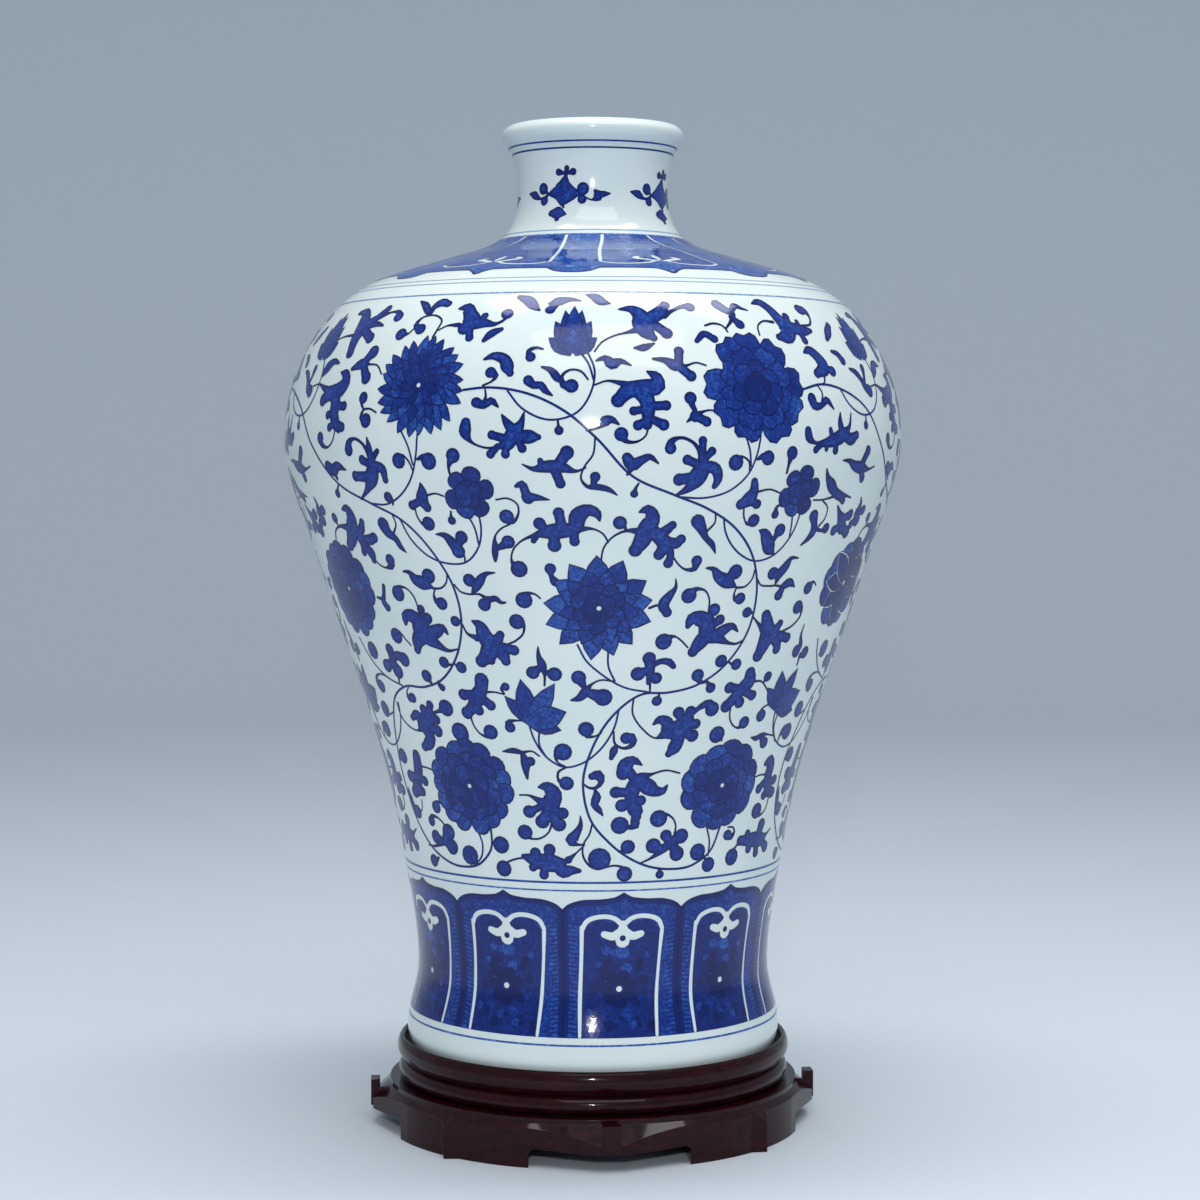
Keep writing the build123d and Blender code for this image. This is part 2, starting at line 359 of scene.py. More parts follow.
def smoothRun(points, step):
    if len(points) < 2:
        return list(points)
    wide = perDegree(points[0][1])
    knots = [Vector((angle * wide, rise, half)) for angle, rise, half in points]
    gaps = [max((b - a).length, 0.01) for a, b in zip(knots, knots[1:])]  # never quite zero
    if len(points) > 2:
        step = min(step, sum(gaps) / brush["leastSteps"])
    lean = [(b - a) / gap for a, b, gap in zip(knots, knots[1:], gaps)]
    slopes = [lean[0]]
    for i in range(1, len(lean)):
        slopes.append((lean[i - 1] * gaps[i] + lean[i] * gaps[i - 1]) / (gaps[i - 1] + gaps[i]))
    slopes.append(lean[-1])
    run = []
    for i, gap in enumerate(gaps):
        leave, arrive = knots[i] + slopes[i] * gap / 3, knots[i + 1] - slopes[i + 1] * gap / 3
        thinnest = min(knots[i].z, knots[i + 1].z)  # so that a thin tail reaches the leaf it belongs to
        curve = interpolate_bezier(knots[i], leave, arrive, knots[i + 1], max(2, round(gap / step) + 1))
        run += [(p.x / wide, p.y, max(p.z, thinnest)) for p in curve[:-1]]
    return run + [points[-1]]


def roundSpot(angle, rise, radius, corners=12):
    wide = perDegree(rise)
    turns = [math.tau * k / corners for k in range(corners)]
    return [(angle + radius * math.cos(t) / wide, rise + radius * math.sin(t)) for t in turns]


def brushShapes(run):
    # One brush stroke as a chain of triangles with round ends, so that it may curl over itself. Each
    # triangle's first edge is the stroke's own edge
    shapes, sides = [], []
    for i, (angle, rise, half) in enumerate(run):
        wide = perDegree(rise)
        back, ahead = run[max(i - 1, 0)], run[min(i + 1, len(run) - 1)]
        flow = Vector(((ahead[0] - back[0]) * wide, ahead[1] - back[1]))
        flow = flow.normalized() if flow.length > 0 else Vector((1, 0))
        sides.append(((angle - half * flow.y / wide, rise + half * flow.x),
                      (angle + half * flow.y / wide, rise - half * flow.x)))
    for (leftA, rightA), (leftB, rightB) in zip(sides, sides[1:]):
        shapes += [[rightA, rightB, leftB], [leftB, leftA, rightA]]
    for angle, rise, half in (run[0], run[-1]):
        corners = 10 if half > brush["fineEnd"] else 6
        shapes.append(roundSpot(angle, rise, half, corners))
    return shapes


def brushStroke(painting, points, tone, trim=0.0, step=brush["step"]):
    run = [(angle, rise, half - trim) for angle, rise, half in smoothRun(points, step)]
    stretch = []
    for spot in run + [(0, 0, 0)]:
        if spot[2] > brush["finest"]:
            stretch.append(spot)
        elif stretch:
            painting += [(shape, tone) for shape in brushShapes(stretch)]
            stretch = []


def pressed(points):
    # The brush is pressed where it is wide, less at the tip, and the thin tails stay as they are
    wider = [brush["body"]] * (len(points) - 1) + [brush["press"]]
    return [(angle, rise, half + max(0, half - brush["thin"]) * more)
            for (angle, rise, half), more in zip(inked(points, brush["tail"]), wider)]


def paintLeaf(painting, strokes):
    edge = brush["edge"]
    for part, trim in (("line", 0), ("leaf", edge), ("core", edge * brush["coreEdge"])):
        for points in map(pressed, strokes):
            brushStroke(painting, points, brush[part], trim)
            angle, rise, half = points[-1]
            if half > brush["knob"]:
                painting.append((roundSpot(angle, rise, half * brush["bulb"] - trim), brush[part]))


# One petal's half width along its length, as shares
petalShapes = {
    "pointed": [(0, 0.5), (0.3, 0.92), (0.52, 1.0), (0.72, 0.74), (0.88, 0.33), (1, 0)],
    "round": [(0, 0.6), (0.35, 0.9), (0.65, 1.0), (0.85, 0.82), (0.96, 0.45), (1, 0)],
    "notched": [(0, 0.6), (0.4, 0.92), (0.7, 1.0), (0.9, 0.86), (1.0, 0.5), (0.93, 0)],
    "slender": [(0, 0.7), (0.4, 1.0), (0.7, 0.8), (0.88, 0.42), (1, 0)],
}
# No two petals of a flower are alike: how far they stray, and how far the slender ones hook over
unevenPetals = {"turn": 0.12, "length": (0.93, 1.05), "width": (0.95, 1.06), "tone": 0.12, "bend": 0.1,
                "hook": 0.16, "seed": 1}


def petalOutline(centre, direction, start, length, half, shape, bend=0.0):
    along = Vector((math.sin(math.radians(direction)), math.cos(math.radians(direction))))
    across = Vector((along.y, -along.x))
    wide = perDegree(centre[1])
    marks = petalShapes[shape]
    edge = [(t, -w) for t, w in marks] + [(t, w) for t, w in reversed(marks[:-1])]
    outline = []
    for t, w in edge:
        spot = along * (start + length * t) + across * (half * w + bend * t * t)
        outline.append((centre[0] + spot.x / wide, centre[1] + spot.y))
    return outline


def paintPetal(painting, centre, direction, start, length, half, shape, tone, line, bend=0.0):
    outer = petalOutline(centre, direction, start, length, half, shape, bend)
    inside = length - brush["edge"] * brush["tipEdge"]
    inner = petalOutline(centre, direction, start, inside, half - brush["edge"], shape, bend)
    painting += [(outer, line), (inner, tone)]


def paintBloom(painting, centre, rings, heart, line):
    # Rings of petals from the outermost to the heart: count, turn, start, length, half width, shape, tone
    stray = unevenPetals
    uneven = random.Random(stray["seed"])
    for count, turn, start, length, half, shape, tone in rings:
        for k in range(count):
            sway = uneven.uniform(-stray["turn"], stray["turn"])
            direction = turn + 360 * k / count + sway * 360 / count
            long = length * uneven.uniform(*stray["length"])
            wide = half * uneven.uniform(*stray["width"])
            shade = tone + uneven.uniform(-stray["tone"], stray["tone"])
            hook = stray["hook"] if shape == "slender" else 0
            bend = (hook + uneven.uniform(-stray["bend"], stray["bend"])) * length
            paintPetal(painting, centre, direction, start, long, wide, shape, shade, line, bend)
    if heart:
        painting.append((roundSpot(*centre, heart), line))
        painting.append((roundSpot(*centre, heart - brush["edge"]), brush["leaf"]))
        painting.append((roundSpot(*centre, brush["seed"]), None))


def paintFan(painting, base, tips):
    # A flower seen from the side: petals from one base to tips in mm from it, with half width and tone
    for across, up, half, tone in tips:
        direction = math.degrees(math.atan2(across, up))
        length = math.hypot(across, up)
        paintPetal(painting, base, direction, 0, length, half, "pointed", tone, brush["line"])


def closeSpaced(corners, reach):
    spaced = []
    for here, there in zip(corners, corners[1:] + corners[:1]):
        count = max(1, math.ceil((there - here).length / reach))
        spaced += [here.lerp(there, k / count) for k in range(count)]
    return spaced


def holds(outline, spot):
    inside = False
    for a, b in zip(outline, outline[1:] + outline[:1]):
        if (a.y > spot.y) != (b.y > spot.y):
            if spot.x < a.x + (b.x - a.x) * (spot.y - a.y) / (b.y - a.y):
                inside = not inside
    return inside


# The flat sheet that a painting is cut from, in mm
sheet = {
    "radius": 100.0,  # of the drum it is drawn on
    "grid": 3.0,  # the triangles are about this large at most, so that they follow the wall
    "speck": 0.02,  # twice the area of the smallest outline that is kept
    "weld": 0.01,
}


def drawSheet(painting):
    # Points and cuts of all the outlines, the outlines themselves, and which of them lie in each square
    grid = sheet["grid"]
    points, cuts, shapes, squares = [], [], [], {}
    for outline, tone in painting:
        corners = [Vector((math.radians(angle) * sheet["radius"], rise)) for angle, rise in outline]
        area = sum(a.x * b.y - b.x * a.y for a, b in zip(corners, corners[1:] + corners[:1]))
        if abs(area) < sheet["speck"]:
            continue
        first = len(points)
        if len(corners) == 3:
            cuts.append((first, first + 1))
            points += corners[:2]
        else:
            flat = closeSpaced(corners, grid)
            cuts += [(first + k, first + (k + 1) % len(flat)) for k in range(len(flat))]
            points += flat
        across, up = [p.x for p in corners], [p.y for p in corners]
        for i in range(int(min(across) // grid), int(max(across) // grid) + 1):
            for j in range(int(min(up) // grid), int(max(up) // grid) + 1):
                squares.setdefault((i, j), []).append(len(shapes))
        shapes.append((corners, tone))
    for i, j in squares:  # a point in each, every other row shifted by half a square
        points.append(Vector((grid * (i + 0.25 + 0.5 * (j % 2)), grid * (j + 0.5))))
    return points, cuts, shapes, squares


def paintMesh(name, painting):
    # The sheet is cut into triangles along every outline, and the last one over a triangle colours it
    points, cuts, shapes, squares = drawSheet(painting)
    result = delaunay_2d_cdt(points, cuts, [], 0, sheet["weld"])
    spots, cells = result[0], result[2]
    kept = []
    for cell in cells:
        middle = sum((spots[k] for k in cell), Vector((0, 0))) / len(cell)
        square = (int(middle.x // sheet["grid"]), int(middle.y // sheet["grid"]))
        for corners, tone in (shapes[k] for k in reversed(squares.get(square, []))):
            if holds(corners, middle):
                if tone is not None:
                    kept.append((cell, tone))
                break
    used = sorted({spot for cell, tone in kept for spot in cell})
    place = {spot: k for k, spot in enumerate(used)}
    mesh = bpy.data.meshes.new(name)
    mesh.from_pydata([(spots[k].x / sheet["radius"], spots[k].y * mm, 0) for k in used], [],
                     [[place[spot] for spot in cell] for cell, tone in kept])
    mesh.attributes.new("tone", "FLOAT", "FACE").data.foreach_set("value", [tone for cell, tone in kept])
    return mesh


def wrapTree():
    # Copies of the sheet side by side, then each point goes as far up the wall and round it as drawn
    tree, given, result = newTree("wrapRoundWall", [
        ("Repeats", "Int"), ("Turn", "Float"), ("Spread", "Float"), ("Lift", "Float"), ("Wall", "Object"),
        ("Finish", "Material")])
    marks = addNode(tree, "GeometryNodeMeshLine", {"Count": given["Repeats"], "Offset": (0, 0, 1)})
    copies = addNode(tree, "GeometryNodeInstanceOnPoints", {
        "Points": marks, "Instance": given["Geometry"]})
    single = addNode(tree, "GeometryNodeRealizeInstances", {"Geometry": copies})
    place = addNode(tree, "GeometryNodeInputPosition")
    drawn = addNode(tree, "ShaderNodeSeparateXYZ", {"Vector": place}).outputs
    pitch = addNode(tree, "ShaderNodeMath", {0: math.tau, 1: given["Repeats"]}, operation="DIVIDE")
    angle = addNode(tree, "ShaderNodeMath", {0: drawn["Z"], 1: pitch, 2: drawn["X"]},
                    operation="MULTIPLY_ADD")
    sway = addNode(tree, "ShaderNodeMath", {0: angle}, operation="SINE")
    eased = addNode(tree, "ShaderNodeMath", {0: sway, 1: given["Spread"], 2: angle},
                    operation="MULTIPLY_ADD")
    turn = addNode(tree, "ShaderNodeMath", {0: eased, 1: given["Turn"]}, operation="ADD")
    wall = addNode(tree, "GeometryNodeObjectInfo", {"Object": given["Wall"]}).outputs["Geometry"]
    rail = addNode(tree, "GeometryNodeMeshToCurve", {"Mesh": wall})
    there = addNode(tree, "GeometryNodeSampleCurve", {"Curves": rail, "Length": drawn["Y"]},
                    mode="LENGTH").outputs
    along = addNode(tree, "ShaderNodeSeparateXYZ", {"Vector": there["Tangent"]}).outputs
    inward = addNode(tree, "ShaderNodeMath", {0: along["X"], 1: -1.0}, operation="MULTIPLY")
    outward = addNode(tree, "ShaderNodeCombineXYZ", {"X": along["Z"], "Z": inward})
    lift = addNode(tree, "ShaderNodeVectorMath", {0: outward, "Scale": given["Lift"]}, operation="SCALE")
    raised = addNode(tree, "ShaderNodeVectorMath", {0: there["Position"], 1: lift}, operation="ADD")
    turned, facing = [
        addNode(tree, "ShaderNodeVectorRotate", {"Vector": vector, "Angle": turn}, rotation_type="Z_AXIS")
        for vector in (raised, outward)]
    shaded = addNode(tree, "GeometryNodeSetMeshNormal", {"Mesh": single, "Custom Normal": facing},
                     mode="FREE")  # the glaze lies as smooth as the wall
    laid = addNode(tree, "GeometryNodeSetPosition", {"Geometry": shaded, "Position": turned})
    painted = addNode(tree, "GeometryNodeSetMaterial", {"Geometry": laid, "Material": given["Finish"]})
    plug(tree, result, {"Geometry": painted})
    return tree


wallRail = bpy.data.objects.new("wallRail", profileMesh("wallRail", outerRun))
bpy.context.scene.collection.objects.link(wallRail)
wrap = wrapTree()
frontTurn = camera["round"]  # the painting is laid out from the photograph's side


def layPainting(name, painting, repeats, spread=0.0, lift=0.1):
    piece = grow(name, paintMesh(name, painting), wrap, {
        "Repeats": repeats, "Turn": math.radians(frontTurn - 90), "Spread": math.radians(spread),
        "Lift": lift * mm, "Wall": wallRail, "Finish": cobalt})
    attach(piece, "vase")
    print(name, "painted,", sum(len(face.vertices) - 2 for face in piece.data.polygons), "triangles")


# The lotus scroll between the rings. A spot of a stroke is angle, rise and half the brush's width there
scroll = {
    "measured": 123.5,  # degrees that two flowers and their vines take up in the photograph
    "repeats": 3,
    "middleRepeats": 2,
    "spread": 2.0,
    # the leaves are three pieces, by the rise of their first spot
    "bands": [("lower", 0, 140), ("middle", 140, 215), ("upper", 215, 400)],
    "vine": 0.46,
    "stem": 0.38,
    "vineTone": 0.3,
    "vineStep": 1.6,
    "vineLift": 0.08,  # mm over the wall: the flowers lie over the leaves, and those over the vines
    "flowerLift": 0.13,
}

scrollVines = [
    [(-84, 263.8), (-79.5, 265.8), (-72, 263.3), (-66, 257.5), (-60, 244), (-52, 229), (-44, 222),
     (-37, 215.5), (-31, 202), (-28.2, 190), (-27.8, 178), (-30.5, 164), (-36, 154), (-42, 150.5),
     (-49, 150), (-54.5, 145.5), (-60, 131), (-62.6, 114), (-60.5, 98), (-55, 87.5), (-47.5, 81.5),
     (-40, 79.8), (-33, 82.5), (-29.3, 89), (-29, 96)],
    [(-22.5, 263), (-18.5, 263.8), (-11, 261.5), (-4.5, 255), (0.5, 246), (7, 232), (14, 225.7),
     (20.5, 220.5), (27, 212.5), (32, 201), (34.5, 187), (34.2, 173), (30.5, 161), (24.5, 153.2),
     (17, 150), (11, 149.5), (5, 142), (0, 129), (-2.5, 115), (-0.8, 101), (4.5, 91.5), (13, 83.5),
     (22, 80.7), (30, 82), (35.5, 87.5), (37.5, 95.5)],
]
scrollStems = [
    [(-33.5, 95), (-32.3, 89), (-33.3, 84), (-36, 81)],
    [(34.4, 84.8), (34.4, 90), (32.8, 96)],
    [(13, 150.2), (7, 152.3), (1.5, 158), (-1.5, 163), (-3.2, 169)],
    [(4.8, 154.8), (3.4, 160), (3.2, 168)],
    [(-50, 150.2), (-56, 153.3), (-60, 158), (-62.5, 163), (-64, 168)],
    [(6, 144), (5, 136.5), (1.5, 127.5), (-3, 122.3), (-7, 121), (-11, 124.2), (-14, 131), (-15.2, 138)],
    [(-11.5, 124.8), (-13, 129.5), (-12.6, 136)],
    [(69.5, 143), (68.5, 136.5), (65.5, 129.5), (62, 125.6), (58.5, 124.6), (54.5, 126.6), (51.3, 131),
     (50, 136), (49.6, 141)],
    [(53, 127.7), (51, 133), (51, 140)],
    [(29.5, 247), (29, 241), (27.5, 233), (24.5, 227.3), (20, 224.5), (15, 224.8)],
    [(26, 249), (27.4, 242), (27.9, 236)],
    [(-31, 247.5), (-31.5, 240), (-33, 232), (-36, 225.5), (-40, 221.8), (-44, 222)],
    [(-34.7, 249.5), (-33, 243), (-32.3, 236.5)],
    [(24, 217), (24.6, 212.5), (28, 204), (32.5, 200.3), (36.5, 202.3), (39.8, 209.5), (40.8, 217.5),
     (40.5, 222)],
    [(39.6, 209), (39.2, 216), (38.3, 222)],
    [(-37.5, 215.8), (-36.3, 209.5), (-32.5, 202), (-28.5, 199.5), (-24.5, 200.2), (-21.5, 206),
     (-20.5, 213), (-20.7, 220)],
    [(-21.4, 207), (-21.8, 213.5), (-23.4, 220)],
    [(-14.5, 262.5), (-12, 256.5), (-7, 252.2), (-2.5, 255), (-0.3, 262), (0.3, 270), (-1.2, 278)],
    [(0.2, 266), (-0.9, 273), (-2.8, 278)],
    [(49.5, 264.5), (51.5, 259), (56.5, 255), (61, 257.5), (63.5, 264), (64, 271), (62.5, 278)],
]

# Leaves with their lobes and curled tails, the left flower's side first
scrollLeaves = [
    [[(-50.7, 81.8, 0.5), (-51.8, 80.9, 0.9), (-53.4, 80.3, 1.5)]],
    [[(-55, 86.2), (-52, 86.1, 0.5), (-49, 87.6, 0.9), (-46.5, 89, 1.3)],
     [(-46.5, 89, 1.2), (-43.9, 87, 1.8)], [(-46.6, 89, 1.2), (-44.6, 92.6, 1.9)],
     [(-48, 88.5, 1.1), (-50.6, 90, 1.6)],
     [(-45, 93.5, 0.5), (-46.5, 96.2, 0.4), (-48.8, 98, 0.5), (-51, 97.8, 0.9), (-51.5, 96, 1.3)]],
    [[(-46, 116.8), (-48.5, 117.5), (-51, 117.8, 0.45)],
     [(-52.2, 122, 1.4), (-52.8, 117, 1.6), (-54, 112.5, 1.5), (-55.5, 108.5, 1.9)],
     [(-54, 113, 1.2), (-57.8, 113, 1.5)], [(-53.3, 113.5, 1.1), (-50.9, 111.9, 1.3)],
     [(-55.3, 108, 1.5), (-57.2, 106.8, 1.5)], [(-55, 108, 1.5), (-53.2, 107.5, 1.3)]],
    [[(-62, 119.5, 0.8), (-59.5, 120.8, 1.8)]],
    [[(-45.5, 104, 0.4), (-47.2, 104, 0.8), (-48.1, 102, 1.5)]],
    [[(-61.2, 108, 0.3), (-60.9, 104, 1), (-59.8, 100.3, 1), (-58.2, 98.7, 1.6)],
     [(-58, 98.5, 0.5), (-55.6, 99.8, 0.3), (-54.5, 104, 0.3)]],
    [[(-54.7, 143), (-54.4, 137.5), (-52, 133.7), (-48.3, 132.5, 0.6), (-46.5, 134.5, 1.6),
     (-44.5, 136.8, 1.9), (-42.7, 139, 1.8)],
     [(-45.5, 134, 1.6), (-44.3, 130, 1.5), (-45.6, 127.5, 1.5), (-47.5, 126, 1.2)],
     [(-43.8, 137, 1.2), (-40.8, 137.6, 1.3)], [(-44, 134.5, 1.2), (-41.2, 133, 1.5)],
     [(-44.5, 137.5, 1.2), (-44.4, 141.3, 1.3)], [(-43, 139, 1.2), (-41.8, 143.3, 1.2)],
     [(-42, 139.8, 0.8), (-39.5, 141, 0.7), (-36.8, 142.6, 1.9)],
     [(-46, 136, 1.5), (-47.5, 138.8, 1.3), (-49.4, 137.5, 1)]],
    [[(-47.8, 149.8, 0.3), (-49, 147.5, 0.4), (-48.6, 145.2, 1), (-47.4, 145.6, 1.3)]],
    [[(-55, 152.9), (-59, 153.9, 0.45), (-61.4, 152.3, 0.8), (-61.3, 149.8, 1.3), (-60.2, 148.8, 1.6)]],
    [[(-58.3, 138.5), (-60.5, 137.4, 0.5), (-62.3, 139.4, 1.9)]],
    [[(-25.4, 154.6, 1.6), (-25.8, 151.5, 1.5), (-27.3, 147.5, 1.8), (-29, 143.5, 1.4),
     (-30.8, 141.2, 1.5)], [(-27.3, 148.6, 1.2), (-30.8, 148.4, 1.4)],
     [(-28, 145, 1.2), (-27.4, 142.4, 1.3)], [(-26.6, 148, 1.2), (-24.1, 144.6, 1.3)],
     [(-20.4, 149.2), (-22.5, 149.9), (-25, 149.8, 0.6)],
     [(-30, 141, 0.5), (-29.6, 136.5), (-28, 133, 0.4), (-26.4, 132.2, 0.8), (-25.2, 134, 1.7)]],
    [[(-20.3, 149.4, 0.4), (-20.8, 151.3, 0.7), (-19.8, 152.2, 1.1)]],
    [[(-15.3, 138.6), (-18, 139, 0.4), (-20.3, 138, 0.9), (-19.9, 136.2, 1.3)]],
    [[(4.5, 154.8), (1.5, 155.2), (-0.5, 153.3, 0.6), (-1.5, 151, 1.2)],
     [(-1.6, 151.5, 0.7), (-3.1, 156.3, 1.6)], [(-1, 150.3, 1.1), (2.3, 148.5, 1.9)],
     [(-1.7, 150.5, 1.2), (-3, 148.3, 1), (-4.9, 147.3, 0.4)]],
    [[(2, 134.6), (0.5, 133.2, 0.4), (-1.2, 133.2, 0.8), (-1.6, 136, 1.7)]],
    [[(-7, 121.4), (-8.8, 123, 0.4), (-8.8, 126.2, 1), (-7.3, 127, 1.9)]],
    [[(-6.5, 121), (-8.7, 119, 0.5), (-8.7, 115.8, 0.6), (-6.7, 114.7, 1.6)]],
    [[(-13.2, 125.2), (-15, 127), (-17.3, 126.5, 0.6)],
     [(-17.3, 126.3, 0.7), (-19.7, 127, 0.9), (-22.7, 126.5, 0.25)],
     [(-17.5, 126, 0.8), (-16.9, 122.3, 1.2), (-17, 119, 0.9), (-16.8, 116.2, 0.5)],
     [(-17, 123, 0.8), (-15.6, 123, 1.2)]],
    [[(-19.3, 109.6), (-17, 109.7, 0.4), (-14.5, 108, 0.9), (-12.5, 106.5, 1.5)],
     [(-14, 113, 0.5), (-12, 113.2, 1.3), (-10.2, 110.5, 1.7), (-11, 106.5, 1.8), (-11, 102, 1.7)],
     [(-13, 106, 1.2), (-15, 104.5, 1), (-17, 103.3, 1.5)], [(-12, 103, 1.3), (-13.6, 99.6, 1.6)],
     [(-11, 104, 1.2), (-8, 103, 1.4)], [(-11, 102, 1.3), (-9.1, 98.6, 1.6)],
     [(-11, 99, 0.5), (-12, 95.5), (-14.5, 93, 0.4), (-17, 92.8, 0.5), (-18.7, 95.2, 1.7)]],
    [[(-7, 84.5, 0.6), (-10, 83.5, 1.7), (-13, 83.7, 1.8), (-16, 84.5, 1.6), (-19.6, 85.8, 0.9)],
     [(-19, 85.3, 0.4), (-22, 84.6, 0.4), (-25, 82.8, 0.5), (-26, 80.6, 1.8)],
     [(-15.5, 85, 1.1), (-16.1, 87.4, 1.3)], [(-12.3, 85, 1.2), (-12, 88.8, 1.4)],
     [(-15, 83.5, 1.1), (-17, 81.7, 1.1)], [(-13.5, 82.5, 1.1), (-13.9, 79, 1.2)],
     [(-10, 82.5, 1.3), (-8.2, 80.5, 1.5), (-6.2, 81, 1.2), (-3.8, 80.8, 0.8)],
     [(-2.5, 90.5), (-4.5, 87.8), (-6.8, 85, 1)]],
    [[(-3.3, 102, 0.25), (-3.3, 98.5, 0.8), (-4.6, 95, 1.1), (-5.8, 92.5, 1.4), (-4.2, 90.9, 0.6),
     (-2.3, 91)]],
    [[(-28.8, 90.2, 0.5), (-27.8, 90.6, 0.9), (-26.3, 89.7, 1.9)]],
    [[(-34.6, 81.4, 0.4), (-35.3, 82.5, 0.8), (-37.2, 84.6, 2.1)]],
    [[(-2.4, 114.5), (-1, 113, 0.5), (0.8, 113, 0.7), (2.1, 115.5, 0.9), (1.2, 118, 1.3),
     (-0.2, 117.5, 1)],
     [(0.6, 112, 0.6), (1, 109.5, 1.1), (0.4, 106.5, 1), (1.6, 104.3, 0.9), (2.6, 102.2, 0.3)]],
    [[(-0.2, 99), (-0.9, 95), (-2.6, 91), (-2.7, 86.5, 0.4), (-0.8, 82.7, 0.5), (1.6, 81.6, 0.6),
     (3.2, 83, 0.9), (1.8, 85.4, 2.3)],
     [(3.5, 82.2, 0.4), (6, 82.8, 0.4), (8.3, 82, 0.7), (8.9, 79.5, 1.7)]],
    [[(7.3, 88.3, 0.4), (8.6, 88.3, 0.9), (9.6, 89.9, 1.6)]],
    [[(22.8, 94, 0.5), (23, 97), (21.8, 100.5, 0.4), (19.8, 102.1, 0.7), (17.8, 100.5, 1.9)],
     [(13.5, 83.6), (16, 85, 0.5), (19, 87.8, 1), (21.8, 90.8, 1.4)], [(22, 91, 1.2), (24.9, 93.2, 1.7)],
     [(21.5, 91, 1.1), (20.3, 93.8, 1.4)], [(19.5, 88.5, 1), (16.8, 90, 1.7)],
     [(22.3, 90.5, 1.1), (24, 86.5, 1.7)]],
    [[(33, 84.8, 0.4), (32, 85.5, 0.8), (30.7, 86.5, 1.9)]],
    [[(33.2, 84, 0.4), (34, 82.8, 0.8), (34.8, 81.2, 1.7)]],
    [[(19, 80.8, 0.5), (19.2, 78.8, 1.1)]],
    [[(40.5, 95), (42.5, 94.8, 0.4), (43.3, 93, 0.5), (42.3, 91.2, 1), (40.7, 92, 1.3)]],
    [[(62, 91.5), (60, 89.8, 0.6), (57, 88.2, 1.6), (53.5, 88.5, 1.7), (50, 88.8, 1.5), (46.5, 89, 1.3)],
     [(46.5, 88.5, 0.6), (44.5, 86.5, 0.5), (43.6, 83, 1.9)], [(50, 89, 1.1), (49.3, 91.4, 1.1)],
     [(55, 89.5, 1.3), (55.8, 94, 1.5)], [(51, 88, 1.1), (50.8, 85.2, 1.2)],
     [(54.5, 87.5, 1.2), (55, 83, 1.2)], [(57.5, 87.5, 1.1), (60.2, 84.6, 1.4)]],
    [[(47.2, 113.6), (50, 114.4), (52.7, 114.3, 0.5)],
     [(51.4, 118.8, 0.9), (53, 120.2, 1.3), (54, 117.5, 1.5), (54, 113, 1.5), (55.3, 109, 1.6),
      (56, 106.8, 1.3)], [(53.5, 112.5, 1), (50.8, 108.9, 1.3)], [(55, 111, 1), (57.7, 111.5, 1.3)],
     [(55, 108.5, 1.1), (54, 106, 1.3)], [(56, 108, 1.1), (58, 106.4, 1.4)],
     [(56.8, 104.5, 0.4), (56.5, 100.8), (54.8, 98.3, 0.5), (53, 98, 0.8), (51.8, 100, 1.8)]],
    [[(7.6, 118.5, 1.5), (8.3, 122, 1.6), (10, 123.5, 1.2), (12.3, 121.6, 0.3)],
     [(22.5, 118), (18.5, 119.3, 0.4), (15, 118, 0.6), (11.8, 116.3, 1.4), (10.3, 112.5, 1.6),
      (10.2, 107, 1.4), (11.5, 103, 1.5), (11.6, 101.5, 1.2)], [(8.5, 120, 1.3), (10.5, 116.5, 1.3)],
     [(10, 111, 1.1), (5.9, 111.2, 1.4)], [(10, 107.5, 1.1), (7.6, 106, 1.5)],
     [(11.8, 116, 1.4), (14.5, 112.8, 1.7), (16.5, 111.2, 1.3), (18.5, 111.4, 1), (19.4, 113.5, 0.4)],
     [(10.5, 108.5, 1), (12.5, 107.8, 1.3)],
     [(11, 102, 0.9), (11.2, 98.3, 1.2), (9.2, 97.2, 0.6), (7.2, 98.3, 1.9)]],
    [[(9.2, 148), (9.1, 142.5), (11.5, 136.3), (15.5, 132.2, 0.5), (17, 133.5, 1.2), (19, 134.7, 1.8),
     (21, 136, 1.9), (22.5, 138.5, 1.8)],
     [(18, 135, 1.5), (17.6, 138.2, 1.4), (15.6, 139.3, 1.1), (14.3, 137.6, 0.5)],
     [(21.5, 138.5, 1.1), (20.2, 142, 1.4)], [(22.5, 139, 1.1), (23.2, 142.2, 1.4)],
     [(22, 137, 1.2), (25, 137.2, 1.3)], [(21.5, 135, 1.3), (24.6, 132.6, 1.5)],
     [(20.5, 134, 1.7), (20.8, 130.5, 1.5), (20, 127.8, 1.5), (18.9, 125.8, 1)],
     [(23.5, 140.5, 0.6), (25.5, 143.8, 0.9), (27.6, 145, 1.2), (28.8, 142.8, 1.7)]],
    [[(15, 149.8, 0.4), (14.9, 148.5, 0.6), (14.6, 146.8, 1.25)]],
    [[(4.9, 135), (5.4, 130, 0.5), (7.5, 128.4, 0.6), (9.5, 129.8, 0.9), (9.2, 132.3, 1.3),
     (8, 132.4, 1.4)], [(5.6, 129.7, 0.5), (5.2, 128, 1), (4.5, 124.6, 0.8)]],
    [[(37.5, 156.5, 1.4), (37.8, 153.5, 1.7), (36, 149.8, 1.6), (34.3, 146.5, 1.4), (32.6, 143.6, 1.5)],
     [(35.8, 150.2, 1.1), (32.5, 151, 1.4)], [(35, 147.5, 1.2), (36.3, 144.8, 1.4)],
     [(36.5, 149.5, 1.1), (39.8, 147.3, 1.3)],
     [(38.5, 152.7, 0.7), (41.5, 152.8, 0.4), (43.5, 150.5), (45.5, 147)],
     [(42.5, 152.3, 0.4), (43.4, 154.5, 1.3)],
     [(34, 143.8, 0.4), (34.2, 139.5), (35.6, 136), (37.4, 134.6, 0.5), (39.2, 136.6, 1.5)]],
